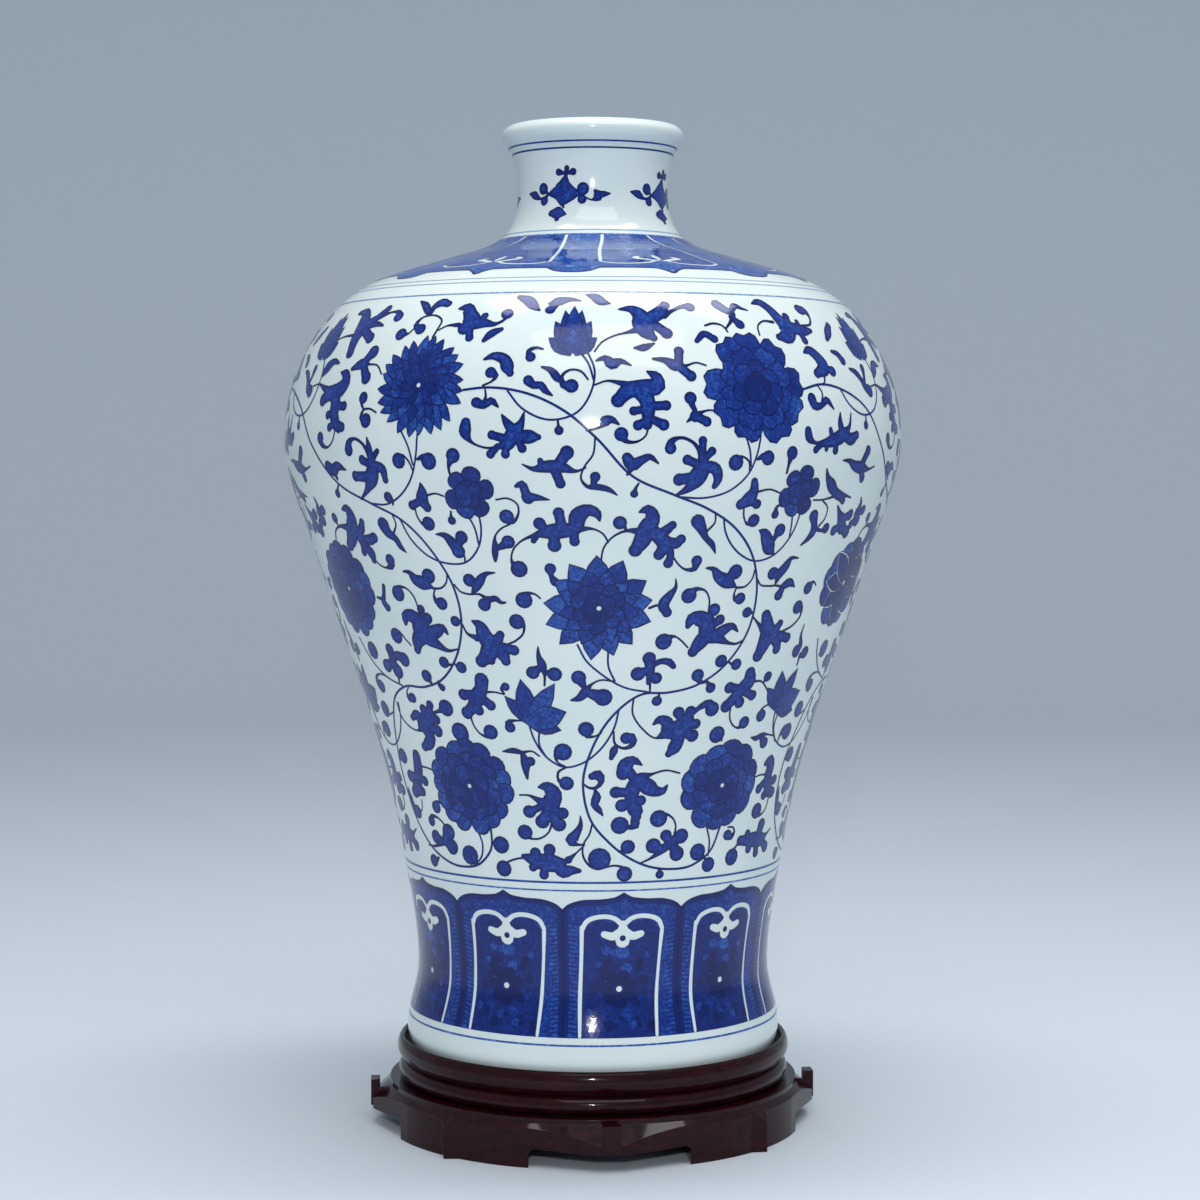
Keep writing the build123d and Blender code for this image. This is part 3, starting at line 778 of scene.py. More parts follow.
    [[(49, 142.5), (46.5, 143, 0.4), (44.3, 141.5, 0.6), (44.5, 138.8, 1.5)]],
    [[(33.2, 130, 0.5), (32.6, 131.3, 1), (31.5, 132.5, 1.9)]],
    [[(-32.3, 130.3, 0.5), (-32.2, 132, 0.9), (-34, 133.3, 2.1)]],
    [[(42.7, 130.3, 0.25), (44.8, 129.7, 0.9), (46.8, 130.9, 0.8), (49.5, 130.6), (51.3, 130)],
     [(46.5, 130.3, 0.9), (48.3, 127.5, 1.4)]],
    [[(54.5, 127), (54.8, 129.5, 0.6), (56, 131.4, 1.3), (57.9, 130.9, 1.9)]],
    [[(-38.5, 221.6, 0.4), (-38.3, 223, 0.7), (-39.2, 224.5, 1.3)]],
    [[(-52.5, 229, 0.4), (-53, 227.5, 0.6), (-53.5, 225.6, 1.1)]],
    [[(-42.2, 214, 1.6), (-41.5, 211, 1.3), (-39.8, 208.5, 1), (-39, 205.5, 0.9), (-37.9, 203.4, 0.25)],
     [(-39.2, 217.8), (-38.9, 214), (-40, 210.8, 0.5)]],
    [[(-31.3, 229.7, 0.5), (-31.2, 227, 1.2), (-31.5, 223.5, 1.5), (-30.8, 220.8, 1.2)],
     [(-31.7, 223.5, 1), (-33.9, 221.5, 1.2)], [(-26.9, 225), (-28.5, 226), (-30.5, 225.2, 0.5)],
     [(-33.5, 220.5, 0.4), (-33.3, 216.8), (-32.6, 214.6, 0.6), (-31.2, 214.6, 1.6)]],
    [[(-26, 219.3, 0.4), (-26.1, 217.6, 0.6), (-26.1, 215.9, 1.1)]],
    [[(-30, 210.6, 0.3), (-28.3, 210.3, 0.9), (-26.8, 207.5, 1.3), (-25.8, 204.3, 1.6)],
     [(-26, 205.5, 0.9), (-24.7, 209.6, 1.5)], [(-25.2, 204, 0.6), (-24.7, 202, 0.4), (-24.8, 200)]],
    [[(-17, 223.8), (-14.8, 224.3), (-13.2, 222), (-13.2, 218.5, 0.45), (-14.3, 215.6, 0.8),
     (-15.4, 217.5, 1.6)],
     [(-14.8, 214.8), (-16.8, 212.8), (-18, 210, 0.4), (-18.2, 206.5, 0.9), (-18.4, 203, 0.9),
      (-18.5, 200.8, 0.6)], [(-18, 205.5, 0.8), (-16.8, 206.5, 1), (-15.6, 208, 1.5)]],
    [[(-13.2, 228.8, 0.7), (-12.2, 229.6, 1), (-11.6, 226.5, 1.1), (-11.2, 224.5, 1.4)],
     [(-11.5, 225, 1.2), (-9.5, 224.6, 0.9), (-7.5, 223.8, 0.25)]],
    [[(2.8, 208), (1.8, 211.2), (0, 213, 0.45), (-2, 213, 0.9), (-5, 212.5, 1.6), (-8, 211.8, 1.5),
     (-10.5, 210.6, 0.8), (-13, 208.5, 0.4), (-14.8, 205), (-15.3, 201, 0.5), (-14, 197.8, 1.8)],
     [(-3, 213.5, 1.5), (-2.5, 218, 1.7), (-0.5, 220, 1.3), (0.8, 218.5, 1.1), (1.2, 216, 0.4)],
     [(-5.5, 213.5, 1.2), (-6, 219, 1.3)], [(-8.5, 212.5, 1.1), (-9.5, 215, 1.4)],
     [(-3.5, 212, 1.2), (-3.3, 208.3, 1.2)], [(-7, 211.5, 1.2), (-7, 206.8, 1.5)],
     [(-10, 211, 0.9), (-10.8, 208.5, 0.9)]],
    [[(-8, 198, 1.3), (-7.9, 195.5, 0.8), (-7.2, 193, 1.1), (-6, 191.5, 0.6)]],
    [[(-10.3, 186.8), (-11.4, 188.4, 0.4), (-12.9, 188.5, 0.8), (-13.6, 186, 1.8)]],
    [[(-18.5, 168.5, 0.4), (-16, 170.5, 0.4), (-14.3, 173.5, 0.4), (-14.2, 176.8, 0.8),
     (-15.5, 177.7, 1.7)],
     [(-25.2, 177.5, 0.6), (-23.8, 176, 1.3), (-23, 172, 1.7), (-22, 168, 1.9), (-22.9, 164.5, 1.8),
      (-24.6, 162, 1.5)], [(-21.5, 168.8, 1.3), (-20, 171, 1.3), (-19.4, 172.5, 1.1)],
     [(-21, 167.5, 1.2), (-18.8, 167.3, 1.3), (-16.8, 166.6, 1.3)],
     [(-20.4, 167, 1.2), (-19.2, 164, 1.4), (-18.9, 162.3, 1.2)],
     [(-22.3, 165, 1.3), (-22.3, 162.3, 1.1)], [(-27.7, 176), (-27, 172.8, 0.5), (-24.8, 171, 1)]],
    [[(-18.9, 196.3, 0.3), (-20.8, 195.8, 0.8), (-22.4, 192.8, 1.2), (-23.5, 190, 1),
     (-24.3, 188.3, 0.5)], [(-23.3, 191, 0.9), (-24.5, 193.3, 1.5)],
     [(-28, 191.5), (-27, 189), (-25, 187.9, 0.4), (-22.8, 188, 0.45), (-21.3, 186.3, 0.8)],
     [(-21, 186, 1), (-22, 184, 1.5)],
     [(-21, 185.8, 0.9), (-19.4, 186.4, 0.9), (-18.3, 184.9, 0.7), (-17.4, 185, 0.4)]],
    [[(-39.9, 196, 0.4), (-38.5, 195.8, 0.8), (-37.3, 193.2, 1.3), (-35, 191.5, 1.5),
     (-33.3, 190.2, 0.6)], [(-35, 192, 1.1), (-33.7, 194.5, 1.7)],
     [(-29.2, 195.5), (-29.7, 192.3), (-31.2, 190, 0.4), (-33.3, 189.8, 0.5)],
     [(-32.7, 189.5), (-33.3, 187.3, 0.45), (-33, 185, 0.9), (-31.8, 184, 1.5)]],
    [[(-38.2, 182.5), (-38.7, 186.5), (-40.3, 189.5, 0.4), (-42.2, 189.8, 0.8), (-42.9, 187.3, 1.8)]],
    [[(-30, 166.4), (-32.3, 165.6, 0.7), (-35, 167.8, 1.2), (-37.3, 171, 2), (-38.8, 174.5, 2.2),
     (-38.5, 178, 1.4)], [(-38.8, 176, 1.8), (-40.5, 178.6, 1.6), (-42.5, 178, 1.3), (-42.9, 175.5, 0.8)],
     [(-37.8, 175.5, 1.3), (-36.3, 178, 1.4)],
     [(-37, 171.5, 1.6), (-34.5, 173.2, 1.5), (-32.7, 174.3, 1.1), (-31.8, 172.2, 0.5)],
     [(-38.6, 172, 2), (-40.6, 168.5, 1.6), (-41.3, 165.2, 1.1)], [(-37.5, 181.4, 1.2)],
     [(-43, 167), (-44.5, 169.8), (-45.6, 172, 0.6), (-47, 170.4, 1.8)]],
    [[(-28.1, 177.5, 0.5), (-29.3, 177.3, 1.3)]],
    [[(-50.2, 156, 1.7), (-51, 160, 1.2), (-51, 164.5, 1.5)],
     [(-50.6, 160.8, 1), (-48.8, 162.3, 1.2), (-46.6, 161, 1.7)], [(-51, 159.5, 1.1), (-54, 157.8, 1.6)],
     [(-50.5, 154.5, 0.8), (-50.9, 151.5, 0.4)]],
    [[(-60.5, 161.5, 0.5), (-58.7, 163.5, 2)]],
    [[(-32.3, 160.2, 0.4), (-33.4, 160, 0.7), (-34.4, 160.9, 1.4)]],
    [[(-31.6, 160.6, 0.4), (-31, 159.4, 0.6), (-30, 159.2, 1.4)]],
    [[(-39.3, 151.5, 0.4), (-39.8, 153, 0.8), (-40.5, 155, 1.5)]],
    [[(-37.3, 153.2, 0.4), (-37.2, 152, 0.8), (-36.5, 150.7, 1)]],
    [[(-46.8, 190, 0.8), (-47.5, 186.5, 0.8), (-48.2, 183.5, 1), (-47.4, 181.5, 1.1)],
     [(-50, 185.3, 0.5), (-48, 184.5, 0.8)]],
    [[(-53.5, 219.5, 0.6), (-52, 219.8, 1.2), (-51.2, 216.5, 1.6), (-52, 212.5, 1.8), (-53.3, 208, 1.7),
     (-54.6, 205.4, 1.4)],
     [(-59.8, 207.5), (-58.8, 210.8, 0.4), (-56.5, 212.8, 0.6), (-53.5, 212.3, 1.2)],
     [(-52, 213, 1.6), (-50.3, 209.5, 1.5), (-49.7, 206, 1.3), (-50.2, 203, 1.1)],
     [(-50, 210.5, 1.2), (-48.8, 212.5, 1.2), (-48.2, 214.8, 1)],
     [(-49, 208, 1.1), (-47, 208, 1.3), (-45.8, 208.8, 1.3)],
     [(-49, 205.5, 1.1), (-47.8, 202, 1.3), (-47.7, 200, 1)],
     [(-47.5, 200.5, 0.4), (-46.2, 198.2), (-44.3, 197.2, 0.5), (-42.8, 198.5, 1.2),
      (-42.8, 200.3, 1.4)]],
    [[(-57, 212.8, 0.4), (-57.2, 214.2, 0.7), (-57.5, 216, 1.3)]],
    [[(1.5, 201), (2, 206), (3.8, 210.3, 0.4), (6, 212.3, 0.6), (9, 211.8, 1.3)],
     [(8.2, 219.3, 0.5), (9.5, 220.2, 1.2), (10.6, 217.5, 1.5), (9.8, 213.5, 1.8), (8.9, 208.5, 1.7),
      (7.8, 205, 1.5)], [(10, 213, 1.5), (12, 210, 1.5), (13.3, 207, 1.6), (12.3, 203.3, 1.3)],
     [(12, 210.5, 1.2), (13.3, 212.5, 1.2), (14.3, 214.3, 1.1)],
     [(13.5, 208.5, 1.1), (15.3, 207.5, 1.3), (16.2, 209, 1.2)],
     [(14, 206, 1.1), (14.5, 203, 1), (14.2, 200, 1.2)],
     [(14.8, 203, 0.4), (16, 200), (17.5, 197.7, 0.45), (19.5, 197.8, 0.9), (19.8, 200.8, 1.3)]],
    [[(6, 212.3, 0.4), (5.8, 213.3, 0.6), (4.8, 215.3, 1.5)]],
    [[(19, 215.8, 1.5), (20, 212.8, 1.2), (21, 209.5, 0.9), (22.4, 207, 0.9), (23.4, 203.5, 0.25)],
     [(22.2, 219), (22.4, 215.5), (21, 211.8, 0.5)]],
    [[(29, 230.5, 1), (29.2, 227.5, 1.2), (28.5, 224, 1.6), (27, 222, 1.3)],
     [(28.5, 223.5, 1.1), (30.3, 222, 1.2)], [(34.8, 226.2), (32.5, 227.5), (30, 226.6, 0.5)],
     [(27.7, 221, 0.4), (28.1, 217), (29, 214.5, 0.6), (30.3, 215.8, 1.5)]],
    [[(36, 221.8, 0.4), (34.9, 221, 0.6), (34.8, 218, 1.1)]],
    [[(32, 212, 0.4), (33, 211.3, 1.1), (34.3, 208, 1.5), (35.3, 204.8, 1.5), (36.5, 203, 0.5)],
     [(35.3, 207, 0.9), (36, 209.5, 0.9), (36.8, 212, 1.5)]],
    [[(45.3, 235, 0.4), (46, 232, 0.9), (47.5, 229, 1.4), (49, 226.5, 1.2), (51, 224.8, 1.2),
     (53, 224.8, 0.7), (55, 224, 0.3)], [(43.5, 223.3), (46, 223.4), (49, 224.5, 0.6)],
     [(49.5, 226, 1.1), (52.5, 222.8, 1)]],
    [[(44.7, 217.3, 1.4), (45.5, 214, 1.1), (45.8, 211.5, 1.2), (44.8, 208.5, 0.9), (43.2, 206, 0.4)],
     [(46, 212.5, 0.9), (48, 211.5, 0.7), (49.4, 212.3, 1.3)],
     [(46, 223.2), (48.2, 220), (48.2, 216), (47, 213.3, 0.5)]],
    [[(22, 198, 0.4), (23.3, 197.7, 0.8), (24.8, 194.8, 1.3), (27, 192.5, 1.5), (29, 190.6, 0.6)],
     [(26.8, 193.5, 1.1), (28.4, 196.3, 1.7)],
     [(32.8, 197), (32.6, 193.5), (31.3, 190.6, 0.4), (29.3, 190.2, 0.5)],
     [(29.2, 189.8), (29, 187.5, 0.45), (29.4, 185.8, 0.8), (30.6, 186, 1.4)]],
    [[(43.5, 201, 0.3), (41.5, 201, 0.8), (40.5, 198, 1.2), (39.3, 195, 1.2), (38.8, 191.3, 0.5)],
     [(39.5, 195.5, 1), (37.5, 195.3, 1.5)],
     [(33.8, 193.5), (35, 191), (37, 190.5, 0.4), (39.5, 190.5, 0.45), (41, 189.8, 0.6)],
     [(41, 190, 1), (42.5, 191.5, 1.2), (44.5, 189.8, 0.3)], [(41, 189.5, 1), (40.4, 186.7, 1.3)]],
    [[(34.4, 180.3, 0.5), (33, 180.5, 1.3)]],
    [[(31, 161.3, 0.4), (30, 160.9, 0.7), (28.8, 161.8, 1.5)]],
    [[(31, 161, 0.4), (31.9, 160.3, 0.7), (33, 160.2, 1.4)]],
    [[(26, 153.6, 0.4), (24.6, 153.8, 0.8), (23.6, 156.5, 1.5)]],
    [[(26.2, 154, 0.4), (26.6, 153, 0.8), (27.4, 151.3, 1.3)]],
    [[(23.8, 181), (23.5, 186.5), (22.3, 189.5, 0.4), (20.5, 190, 0.8), (19.1, 187.5, 1.7)],
     [(33.6, 169.8), (32, 168.4, 0.5), (29.8, 168.8, 0.7), (27.2, 170.8, 1.3), (24.5, 172.8, 1.8),
      (24, 175.8, 1.8), (24.3, 179.5, 1.2)],
     [(23.8, 177, 1.7), (22.3, 178.6, 1.7), (20.3, 178.3, 1.4), (19.7, 175.8, 0.9)],
     [(25, 176, 1.2), (26.7, 178, 1.3)],
     [(26.3, 171.8, 1.4), (28.3, 174.2, 1.3), (30, 175.3, 1), (31.6, 173.2, 0.4)],
     [(24.3, 172.5, 1.7), (22.8, 169, 1.6), (21.6, 165.8, 1.3)], [(25, 181.9, 1.5)],
     [(20.3, 167.5), (18.8, 170), (17, 172, 0.5), (14.8, 170, 1.8)]],
    [[(34.9, 178.5), (36, 176.8, 0.5), (38, 173.8, 1)],
     [(38.2, 179.2, 1.3), (39, 176, 1.6), (39.8, 172, 1.9), (39.4, 167, 1.7), (38.6, 163.2, 1.5)],
     [(40.5, 171.5, 1.3), (42.3, 174, 1.2), (42.9, 175.5, 1.1)],
     [(41, 170.8, 1.3), (44, 170.5, 1.3), (46.4, 169.6, 1.3)],
     [(41.5, 170.3, 1.3), (43.6, 167.5, 1.3), (43.9, 165.4, 1.3)],
     [(44.5, 172.5, 0.5), (47.2, 174.5, 0.45), (49, 178.5, 0.45), (48.6, 181, 0.9), (47.3, 181.6, 1.6)]],
    [[(16, 194, 0.25), (16.2, 191, 0.7), (15, 187.5, 1.1), (14, 184, 1.3), (14.9, 181.2, 1.2)],
     [(11.2, 183, 0.5), (12.8, 184, 0.5), (14, 183.5, 0.9)]],
    [[(12.3, 154, 0.8), (12.5, 158.5, 1.1), (12, 163.6, 1.5)],
     [(12.7, 160.8, 0.9), (14.8, 162.4, 0.9), (16.5, 162, 1), (17.6, 160.2, 0.9)],
     [(12, 159, 1), (9.8, 157.6, 1.6)], [(12.5, 157.5, 0.9), (13.9, 155.8, 1.4)],
     [(12.6, 154.5, 0.5), (12.8, 150.5)]],
    [[(-11.5, 168.2, 0.25), (-11.5, 164.5, 0.8), (-10.9, 161, 1.1), (-10.5, 157, 0.6),
     (-10.7, 153, 0.4)], [(-11.2, 160.3, 0.9), (-13.1, 158, 1.5)],
     [(-10.5, 158.3, 0.7), (-8.3, 157.5, 1.6)]],
    [[(51.4, 174.5, 0.25), (51.3, 170, 0.7), (52.2, 166, 1), (51.3, 163.5, 1.4)],
     [(52, 165.5, 0.9), (51.2, 164, 1.5)], [(53.3, 161.5, 0.8), (55, 163, 1.5)],
     [(53.3, 162.5, 0.7), (53.3, 158, 0.4)]],
    [[(51.5, 190), (50.5, 191.3, 0.5), (49, 189, 1.5)]],
    [[(-32.5, 234.5), (-33.2, 238, 0.4), (-34.3, 239.9, 0.6), (-35.3, 238, 1.7)]],
    [[(-31.3, 238.5, 0.5), (-29.9, 239.2, 1), (-29, 237.8, 1.8)]],
    [[(27.7, 234.5), (27.4, 237.8, 0.4), (25.9, 239.4, 0.6), (24.9, 237.3, 1.7)]],
    [[(29, 238.5, 0.5), (30.2, 239.5, 1), (31.2, 239, 1.6)]],
    [[(-47.4, 242, 1.4), (-47.2, 244.5, 1.1), (-45.8, 246, 0.6), (-43.8, 244.5, 0.6),
     (-42.2, 240.5, 0.9), (-41.5, 236, 1.5), (-42.5, 231.5, 1.8), (-44, 227.5, 1), (-46.5, 223.5)],
     [(-41.8, 240, 1.1), (-42, 243, 1), (-42.4, 246.3, 0.4)], [(-41.5, 238.5, 1), (-40, 241.5, 0.9)],
     [(-42, 236.5, 1.1), (-44, 238.3, 1.2)], [(-41.3, 236, 1.3), (-39.3, 235, 1.2), (-39, 231, 1)],
     [(-43, 232, 1.3), (-46.5, 232.3, 1.3)]],
    [[(13, 242.3, 1.3), (13.1, 244.5, 1), (14.5, 246, 0.6), (16.8, 244.5, 0.6), (18.3, 240.5, 0.9),
     (18.8, 236, 1.6), (17.8, 231.5, 1.8), (16.5, 228, 1.1), (14.3, 225.3)],
     [(18.6, 240, 1), (18.6, 245, 1.1)], [(18.9, 238.5, 1), (20.3, 241.3, 1.1)],
     [(18, 236.5, 1.1), (16, 238.3, 1.2)],
     [(19, 236, 1.3), (21.2, 235, 1.3), (21.8, 231, 1.1), (21.3, 228.7, 0.9)],
     [(17.8, 232, 1.3), (14.8, 231.2, 1.4)]],
    [[(-24.8, 231, 0.5), (-25.2, 235.5, 0.6), (-24.2, 239.8, 1.6)]],
    [[(35.6, 233.5, 0.5), (35.8, 236.8, 0.7), (36.3, 240.8, 1.5)]],
    [[(-11.9, 236.7, 0.25), (-10, 235, 0.8), (-8, 235.8, 1.3), (-5.5, 235.8, 1.3), (-2.5, 234.3, 0.5),
     (-1.2, 235.5)], [(-6, 236, 1.2), (-4.3, 240.8, 1.5)], [(-6.5, 235.5, 1.2), (-5.5, 229.8, 1.2)],
     [(-8.5, 236, 1), (-8.8, 238, 0.9)]],
    [[(0.4, 246.5), (0, 240), (-1.5, 235.5), (-2, 231.5, 0.4), (-1, 228.8, 0.7), (1, 228.5, 0.9),
     (2.8, 227.5, 0.8), (4.2, 225.5, 0.25)], [(0, 228.8, 0.8), (0.4, 232.2, 1.2)]],
    [[(49.6, 238.2, 0.3), (51.5, 238, 0.8), (53.5, 236.3, 1.2), (56, 235.5, 1.4), (59.5, 235, 0.5),
     (61.5, 236)], [(56, 236.5, 1.1), (57.8, 241.8, 1.3)], [(56, 235.5, 1.1), (57.3, 231.5, 1.2)]],
    [[(-21.7, 251.3, 1.2), (-21.8, 248.5, 1.4), (-20.8, 244.8, 0.7), (-18.8, 242.8, 0.4),
     (-16.5, 242.5, 0.7), (-14.5, 244, 1.4)],
     [(-14.3, 244, 1.5), (-13, 248, 1.6), (-12, 251, 1), (-11.5, 254.8)],
     [(-13.3, 248.5, 1.3), (-14.5, 251.5, 1), (-15.3, 254, 0.4)], [(-14.5, 245.5, 1.1), (-17, 247, 1.1)],
     [(-12.8, 246.5, 1.2), (-10.3, 246.3, 1.4), (-9, 246.2, 0.9)],
     [(-12.5, 245.5, 1), (-11.8, 242.3, 1.1)], [(-14.5, 244, 1), (-14.7, 240.3, 1.1)],
     [(-16, 243, 0.9), (-17.3, 240.3, 1.1)]],
    [[(39.8, 248.8, 1.1), (40, 246.5, 1.2), (41.5, 244.5, 0.7), (43.5, 244.3, 1), (46, 245.3, 1.4),
     (49, 247.5, 1.5), (51, 250.5, 0.8), (51.8, 255.5)],
     [(48.8, 248, 1.2), (48.3, 252, 1), (48.5, 255.5, 0.4)], [(46, 246, 1), (45.5, 249.3, 0.9)],
     [(43.5, 244.5, 0.9), (41.8, 242, 1)], [(44.5, 244.5, 0.9), (44.5, 242.3, 0.9)],
     [(47, 245.5, 1.1), (47, 241.8, 1.1)], [(49.5, 247, 1.2), (51.5, 246, 1.4), (53.3, 247.5, 1.1)]],
    [[(5.7, 239, 1.2), (6.5, 236.5, 1.4), (8, 238, 1.1), (9.5, 239.3, 0.9), (11, 237)],
     [(6.8, 236, 0.9), (5.8, 233, 0.5)]],
    [[(-54.7, 236, 1.3), (-53, 234.5, 1.4), (-51.5, 236, 1.2), (-49, 234.6, 0.3)],
     [(-53, 234, 0.9), (-52.3, 231.3, 0.7)]],
    [[(7.8, 229.8, 0.4), (7.3, 228, 0.6), (7.1, 226, 1)]],
    [[(-40.3, 255.3), (-42, 256.7, 0.4), (-43.6, 256.3, 0.5), (-44, 253.8, 0.9), (-42.8, 252.5, 1.6)],
     [(-43.6, 256.8, 0.5), (-44.2, 258.5, 0.7), (-44, 260.8, 1.4)]],
    [[(22, 254), (20.3, 255.7), (18.5, 255, 0.6), (17.3, 253.5, 1.3)],
     [(17.3, 255.5, 0.8), (16.8, 257.8, 0.9), (16.6, 260, 1.4)], [(17.5, 253.5, 1.1), (19.3, 251.7, 1.2)],
     [(17, 253.5, 0.9), (15.8, 251.5, 0.3)]],
    [[(-40.5, 269.5), (-42, 272.8), (-44.5, 273.5, 0.6), (-46.5, 273.8, 1.3), (-49, 272, 0.8)],
     [(-46, 274.5, 1.1), (-44.3, 278.3, 1.6)], [(-46, 273.5, 1.1), (-44.3, 268.3, 1.5)]],
    [[(20, 272), (18.2, 273), (16.3, 271.8, 0.6), (14.5, 271.8, 1.3), (12.5, 273.8, 0.9),
     (10.5, 274.3, 0.5)], [(15, 272.5, 1.1), (15.3, 277.3, 1.2)], [(15, 271.5, 1.1), (17, 268, 1.3)]],
    [[(-62, 266), (-59.5, 266.7, 0.4), (-57, 265, 0.9), (-54.5, 263.5, 1.5)],
     [(-52.3, 270.8, 0.4), (-50.7, 270, 1.3), (-50, 267, 1.6), (-51.5, 264, 1.8), (-54.5, 262.7, 1.6),
      (-56.5, 260.6, 1.5)],
     [(-53, 263.5, 1.7), (-52, 259.5, 1.7), (-52, 255, 1.6), (-51, 251, 1.4), (-50.2, 249, 0.9)],
     [(-51.5, 258, 1.1), (-49.2, 258, 1.2)], [(-52.5, 256, 1), (-54, 254.8, 1.1)],
     [(-51.5, 252, 1), (-53.2, 250.3, 1.1)], [(-51, 252, 1), (-49.3, 250.3, 1.2)],
     [(-51.3, 249.5, 0.4), (-52.3, 245), (-54, 243, 0.45), (-56, 244.5, 1), (-56.4, 246.5, 1.4)]],
    [[(0.3, 264.5), (2.3, 266, 0.4), (4.5, 265.3, 0.8), (6.5, 264, 1.3)],
     [(9.3, 269.5, 0.4), (10.8, 267.5, 1.3), (11, 264.5, 1.6), (8.5, 263.5, 1.7), (6, 262.5, 1.6),
      (4.2, 259, 1.5)], [(7.5, 263, 1.6), (9, 259.5, 1.6), (9.2, 254.5, 1.4), (9, 250.5, 1.2)],
     [(9.3, 257, 1.1), (12.3, 257.3, 1.2)], [(8.8, 256, 1), (6.8, 255.3, 1.1)],
     [(9, 252, 1), (7.5, 250.3, 1.2)], [(9.8, 252.5, 1), (11.8, 250.5, 1.3)],
     [(9.2, 250, 0.4), (8.8, 246.8), (7.3, 244.6, 0.45), (5.5, 244.8, 0.8), (4.7, 247.2, 1.5)]],
    [[(-59, 270.8, 1), (-58, 273, 1.4), (-56, 275.3, 1), (-54, 274.5, 0.5)]],
    [[(0.6, 273.5, 0.4), (2, 274.5, 0.9), (3.3, 272.3, 1.3), (4.8, 273.3, 0.9), (6.6, 271.7, 0.3)]],
    [[(7.3, 278.5, 0.4), (8.8, 278.5, 1), (11, 280.3, 0.4)]],
    [[(-1, 248.5, 0.4), (1, 249.5, 0.5), (2, 251.7, 1.2), (3, 252.3, 1), (4.3, 250.6, 0.4)]],
    [[(-56, 296.5, 0.9), (-54, 296.8, 1.2), (-52.3, 293, 1.7), (-51.5, 289, 2), (-51.8, 284, 1.6),
     (-51.5, 278.5, 1.4)], [(-60.5, 280), (-59.3, 283.5), (-56.5, 285.6, 0.4), (-53.5, 286, 0.7)],
     [(-50.5, 290.5, 1.3), (-48.8, 292.5, 1.2), (-46.5, 294.3, 0.9), (-44, 295.8, 0.5),
      (-42.3, 295.5, 0.9), (-41.6, 293.3, 1.4)], [(-48.5, 293, 1), (-46.3, 297.5, 1.2)],
     [(-49.5, 290, 1.2), (-46.5, 290.3, 0.9), (-44.8, 289.5, 0.5)], [(-50, 288, 1.2), (-47, 284.3, 1.4)]],
    [[(5, 294.8, 0.4), (7.5, 294.8, 1.2), (9, 292, 1.7), (9.3, 288, 2), (10, 284.5, 1.6),
     (11, 282.5, 1)], [(10.5, 290.5, 1.5), (12.5, 293, 1.5), (14.2, 297, 1.2)],
     [(13.5, 292, 1), (15.5, 294.5, 0.7), (18, 296.5, 0.9), (19.2, 296.3, 1.3)],
     [(11.5, 288, 1.2), (13.5, 284.5, 1.4)],
     [(0.3, 277), (1.5, 280.5), (3.5, 283), (6.5, 284.8, 0.7), (8.5, 286, 1.2)]],
    [[(-30.8, 283.5, 0.5), (-30.3, 287, 0.4), (-30, 290.5, 0.4), (-31.5, 292.8, 0.4),
     (-33.5, 293.2, 0.45), (-35.3, 291.8, 0.6), (-35.8, 289, 0.9), (-34.3, 287.2, 1.4)],
     [(-35.8, 288), (-36.8, 285.5, 0.45), (-38.7, 285.3, 1.5)],
     [(-37.8, 300.5, 0.4), (-36, 298.5, 1), (-34, 294.5, 0.9), (-33.3, 293.3, 0.5)],
     [(-33.3, 294, 0.6), (-33.3, 297, 1), (-32, 299.3, 1.3), (-30.3, 298.5, 1.1)]],
    [[(-30, 286.5), (-28.5, 288.2, 0.4), (-26, 288.5, 0.9)],
     [(-27, 296, 0.7), (-25.5, 296.5, 1.3), (-24.3, 293.5, 1.5), (-23.5, 290, 1.9), (-24.5, 287, 1.6)],
     [(-23, 289, 1.6), (-20.5, 289, 1.2), (-18.5, 288.5, 0.8), (-16.8, 290.5, 0.6), (-16.5, 293, 1.4)],
     [(-21.5, 289.5, 1), (-21, 292.3, 1)], [(-20, 281.8, 0.8), (-18.8, 284.5, 1.1), (-17, 286.3, 0.8)],
     [(-23.5, 287, 1.1), (-23, 283, 1.1)]],
    [[(-14.8, 301, 0.9), (-13, 299.5, 1.3), (-11.5, 296.5, 1.2), (-10.3, 294.5, 0.5)]],
    [[(-8.6, 297.5, 0.5), (-6.8, 298.6, 1.3), (-4.6, 299.6, 0.9), (-2.4, 299)],
     [(-7, 298.2, 1), (-8.2, 294.6, 1.2)]],
    [[(-1.2, 302, 0.5), (0.4, 300.8, 1.2), (1.8, 298.4, 1.2), (3.4, 297.6)]],
    [[(32.5, 284.5), (32.8, 288.3), (34.5, 290.7, 0.4), (37, 290.5, 0.7)],
     [(34, 299, 0.5), (36, 299.8, 1.2), (37.8, 296.5, 1.3), (38.8, 292.5, 1.5), (40, 288, 2),
      (39, 284.5, 1.8), (37, 284, 1)], [(40.5, 289.5, 1.4), (41.3, 293.5, 1.1)],
     [(41, 288.5, 1.5), (44, 287.5, 1.5), (46.5, 287.5, 0.9)], [(43.5, 288, 0.9), (43.7, 291.3, 0.9)],
     [(43, 287, 1), (43.5, 283, 1.1)],
     [(44.5, 289.5, 0.5), (47.5, 290.5, 0.5), (48.6, 294, 0.6), (48, 297, 1.3), (46.9, 297.2, 1.5)]],
    [[(25.3, 298, 1.3), (26.5, 295.8, 1.2), (28, 293.5, 1), (27, 290, 0.7), (25.5, 287, 0.4)],
     [(28, 294.5, 0.8), (29.3, 297.5, 1), (30.8, 296.3, 0.7), (32, 295.5, 0.3)],
     [(27.5, 292, 0.9), (28.8, 289, 1.3)],
     [(21.3, 288, 0.4), (23, 289, 0.5), (25, 288, 0.4), (25.7, 285.5)],
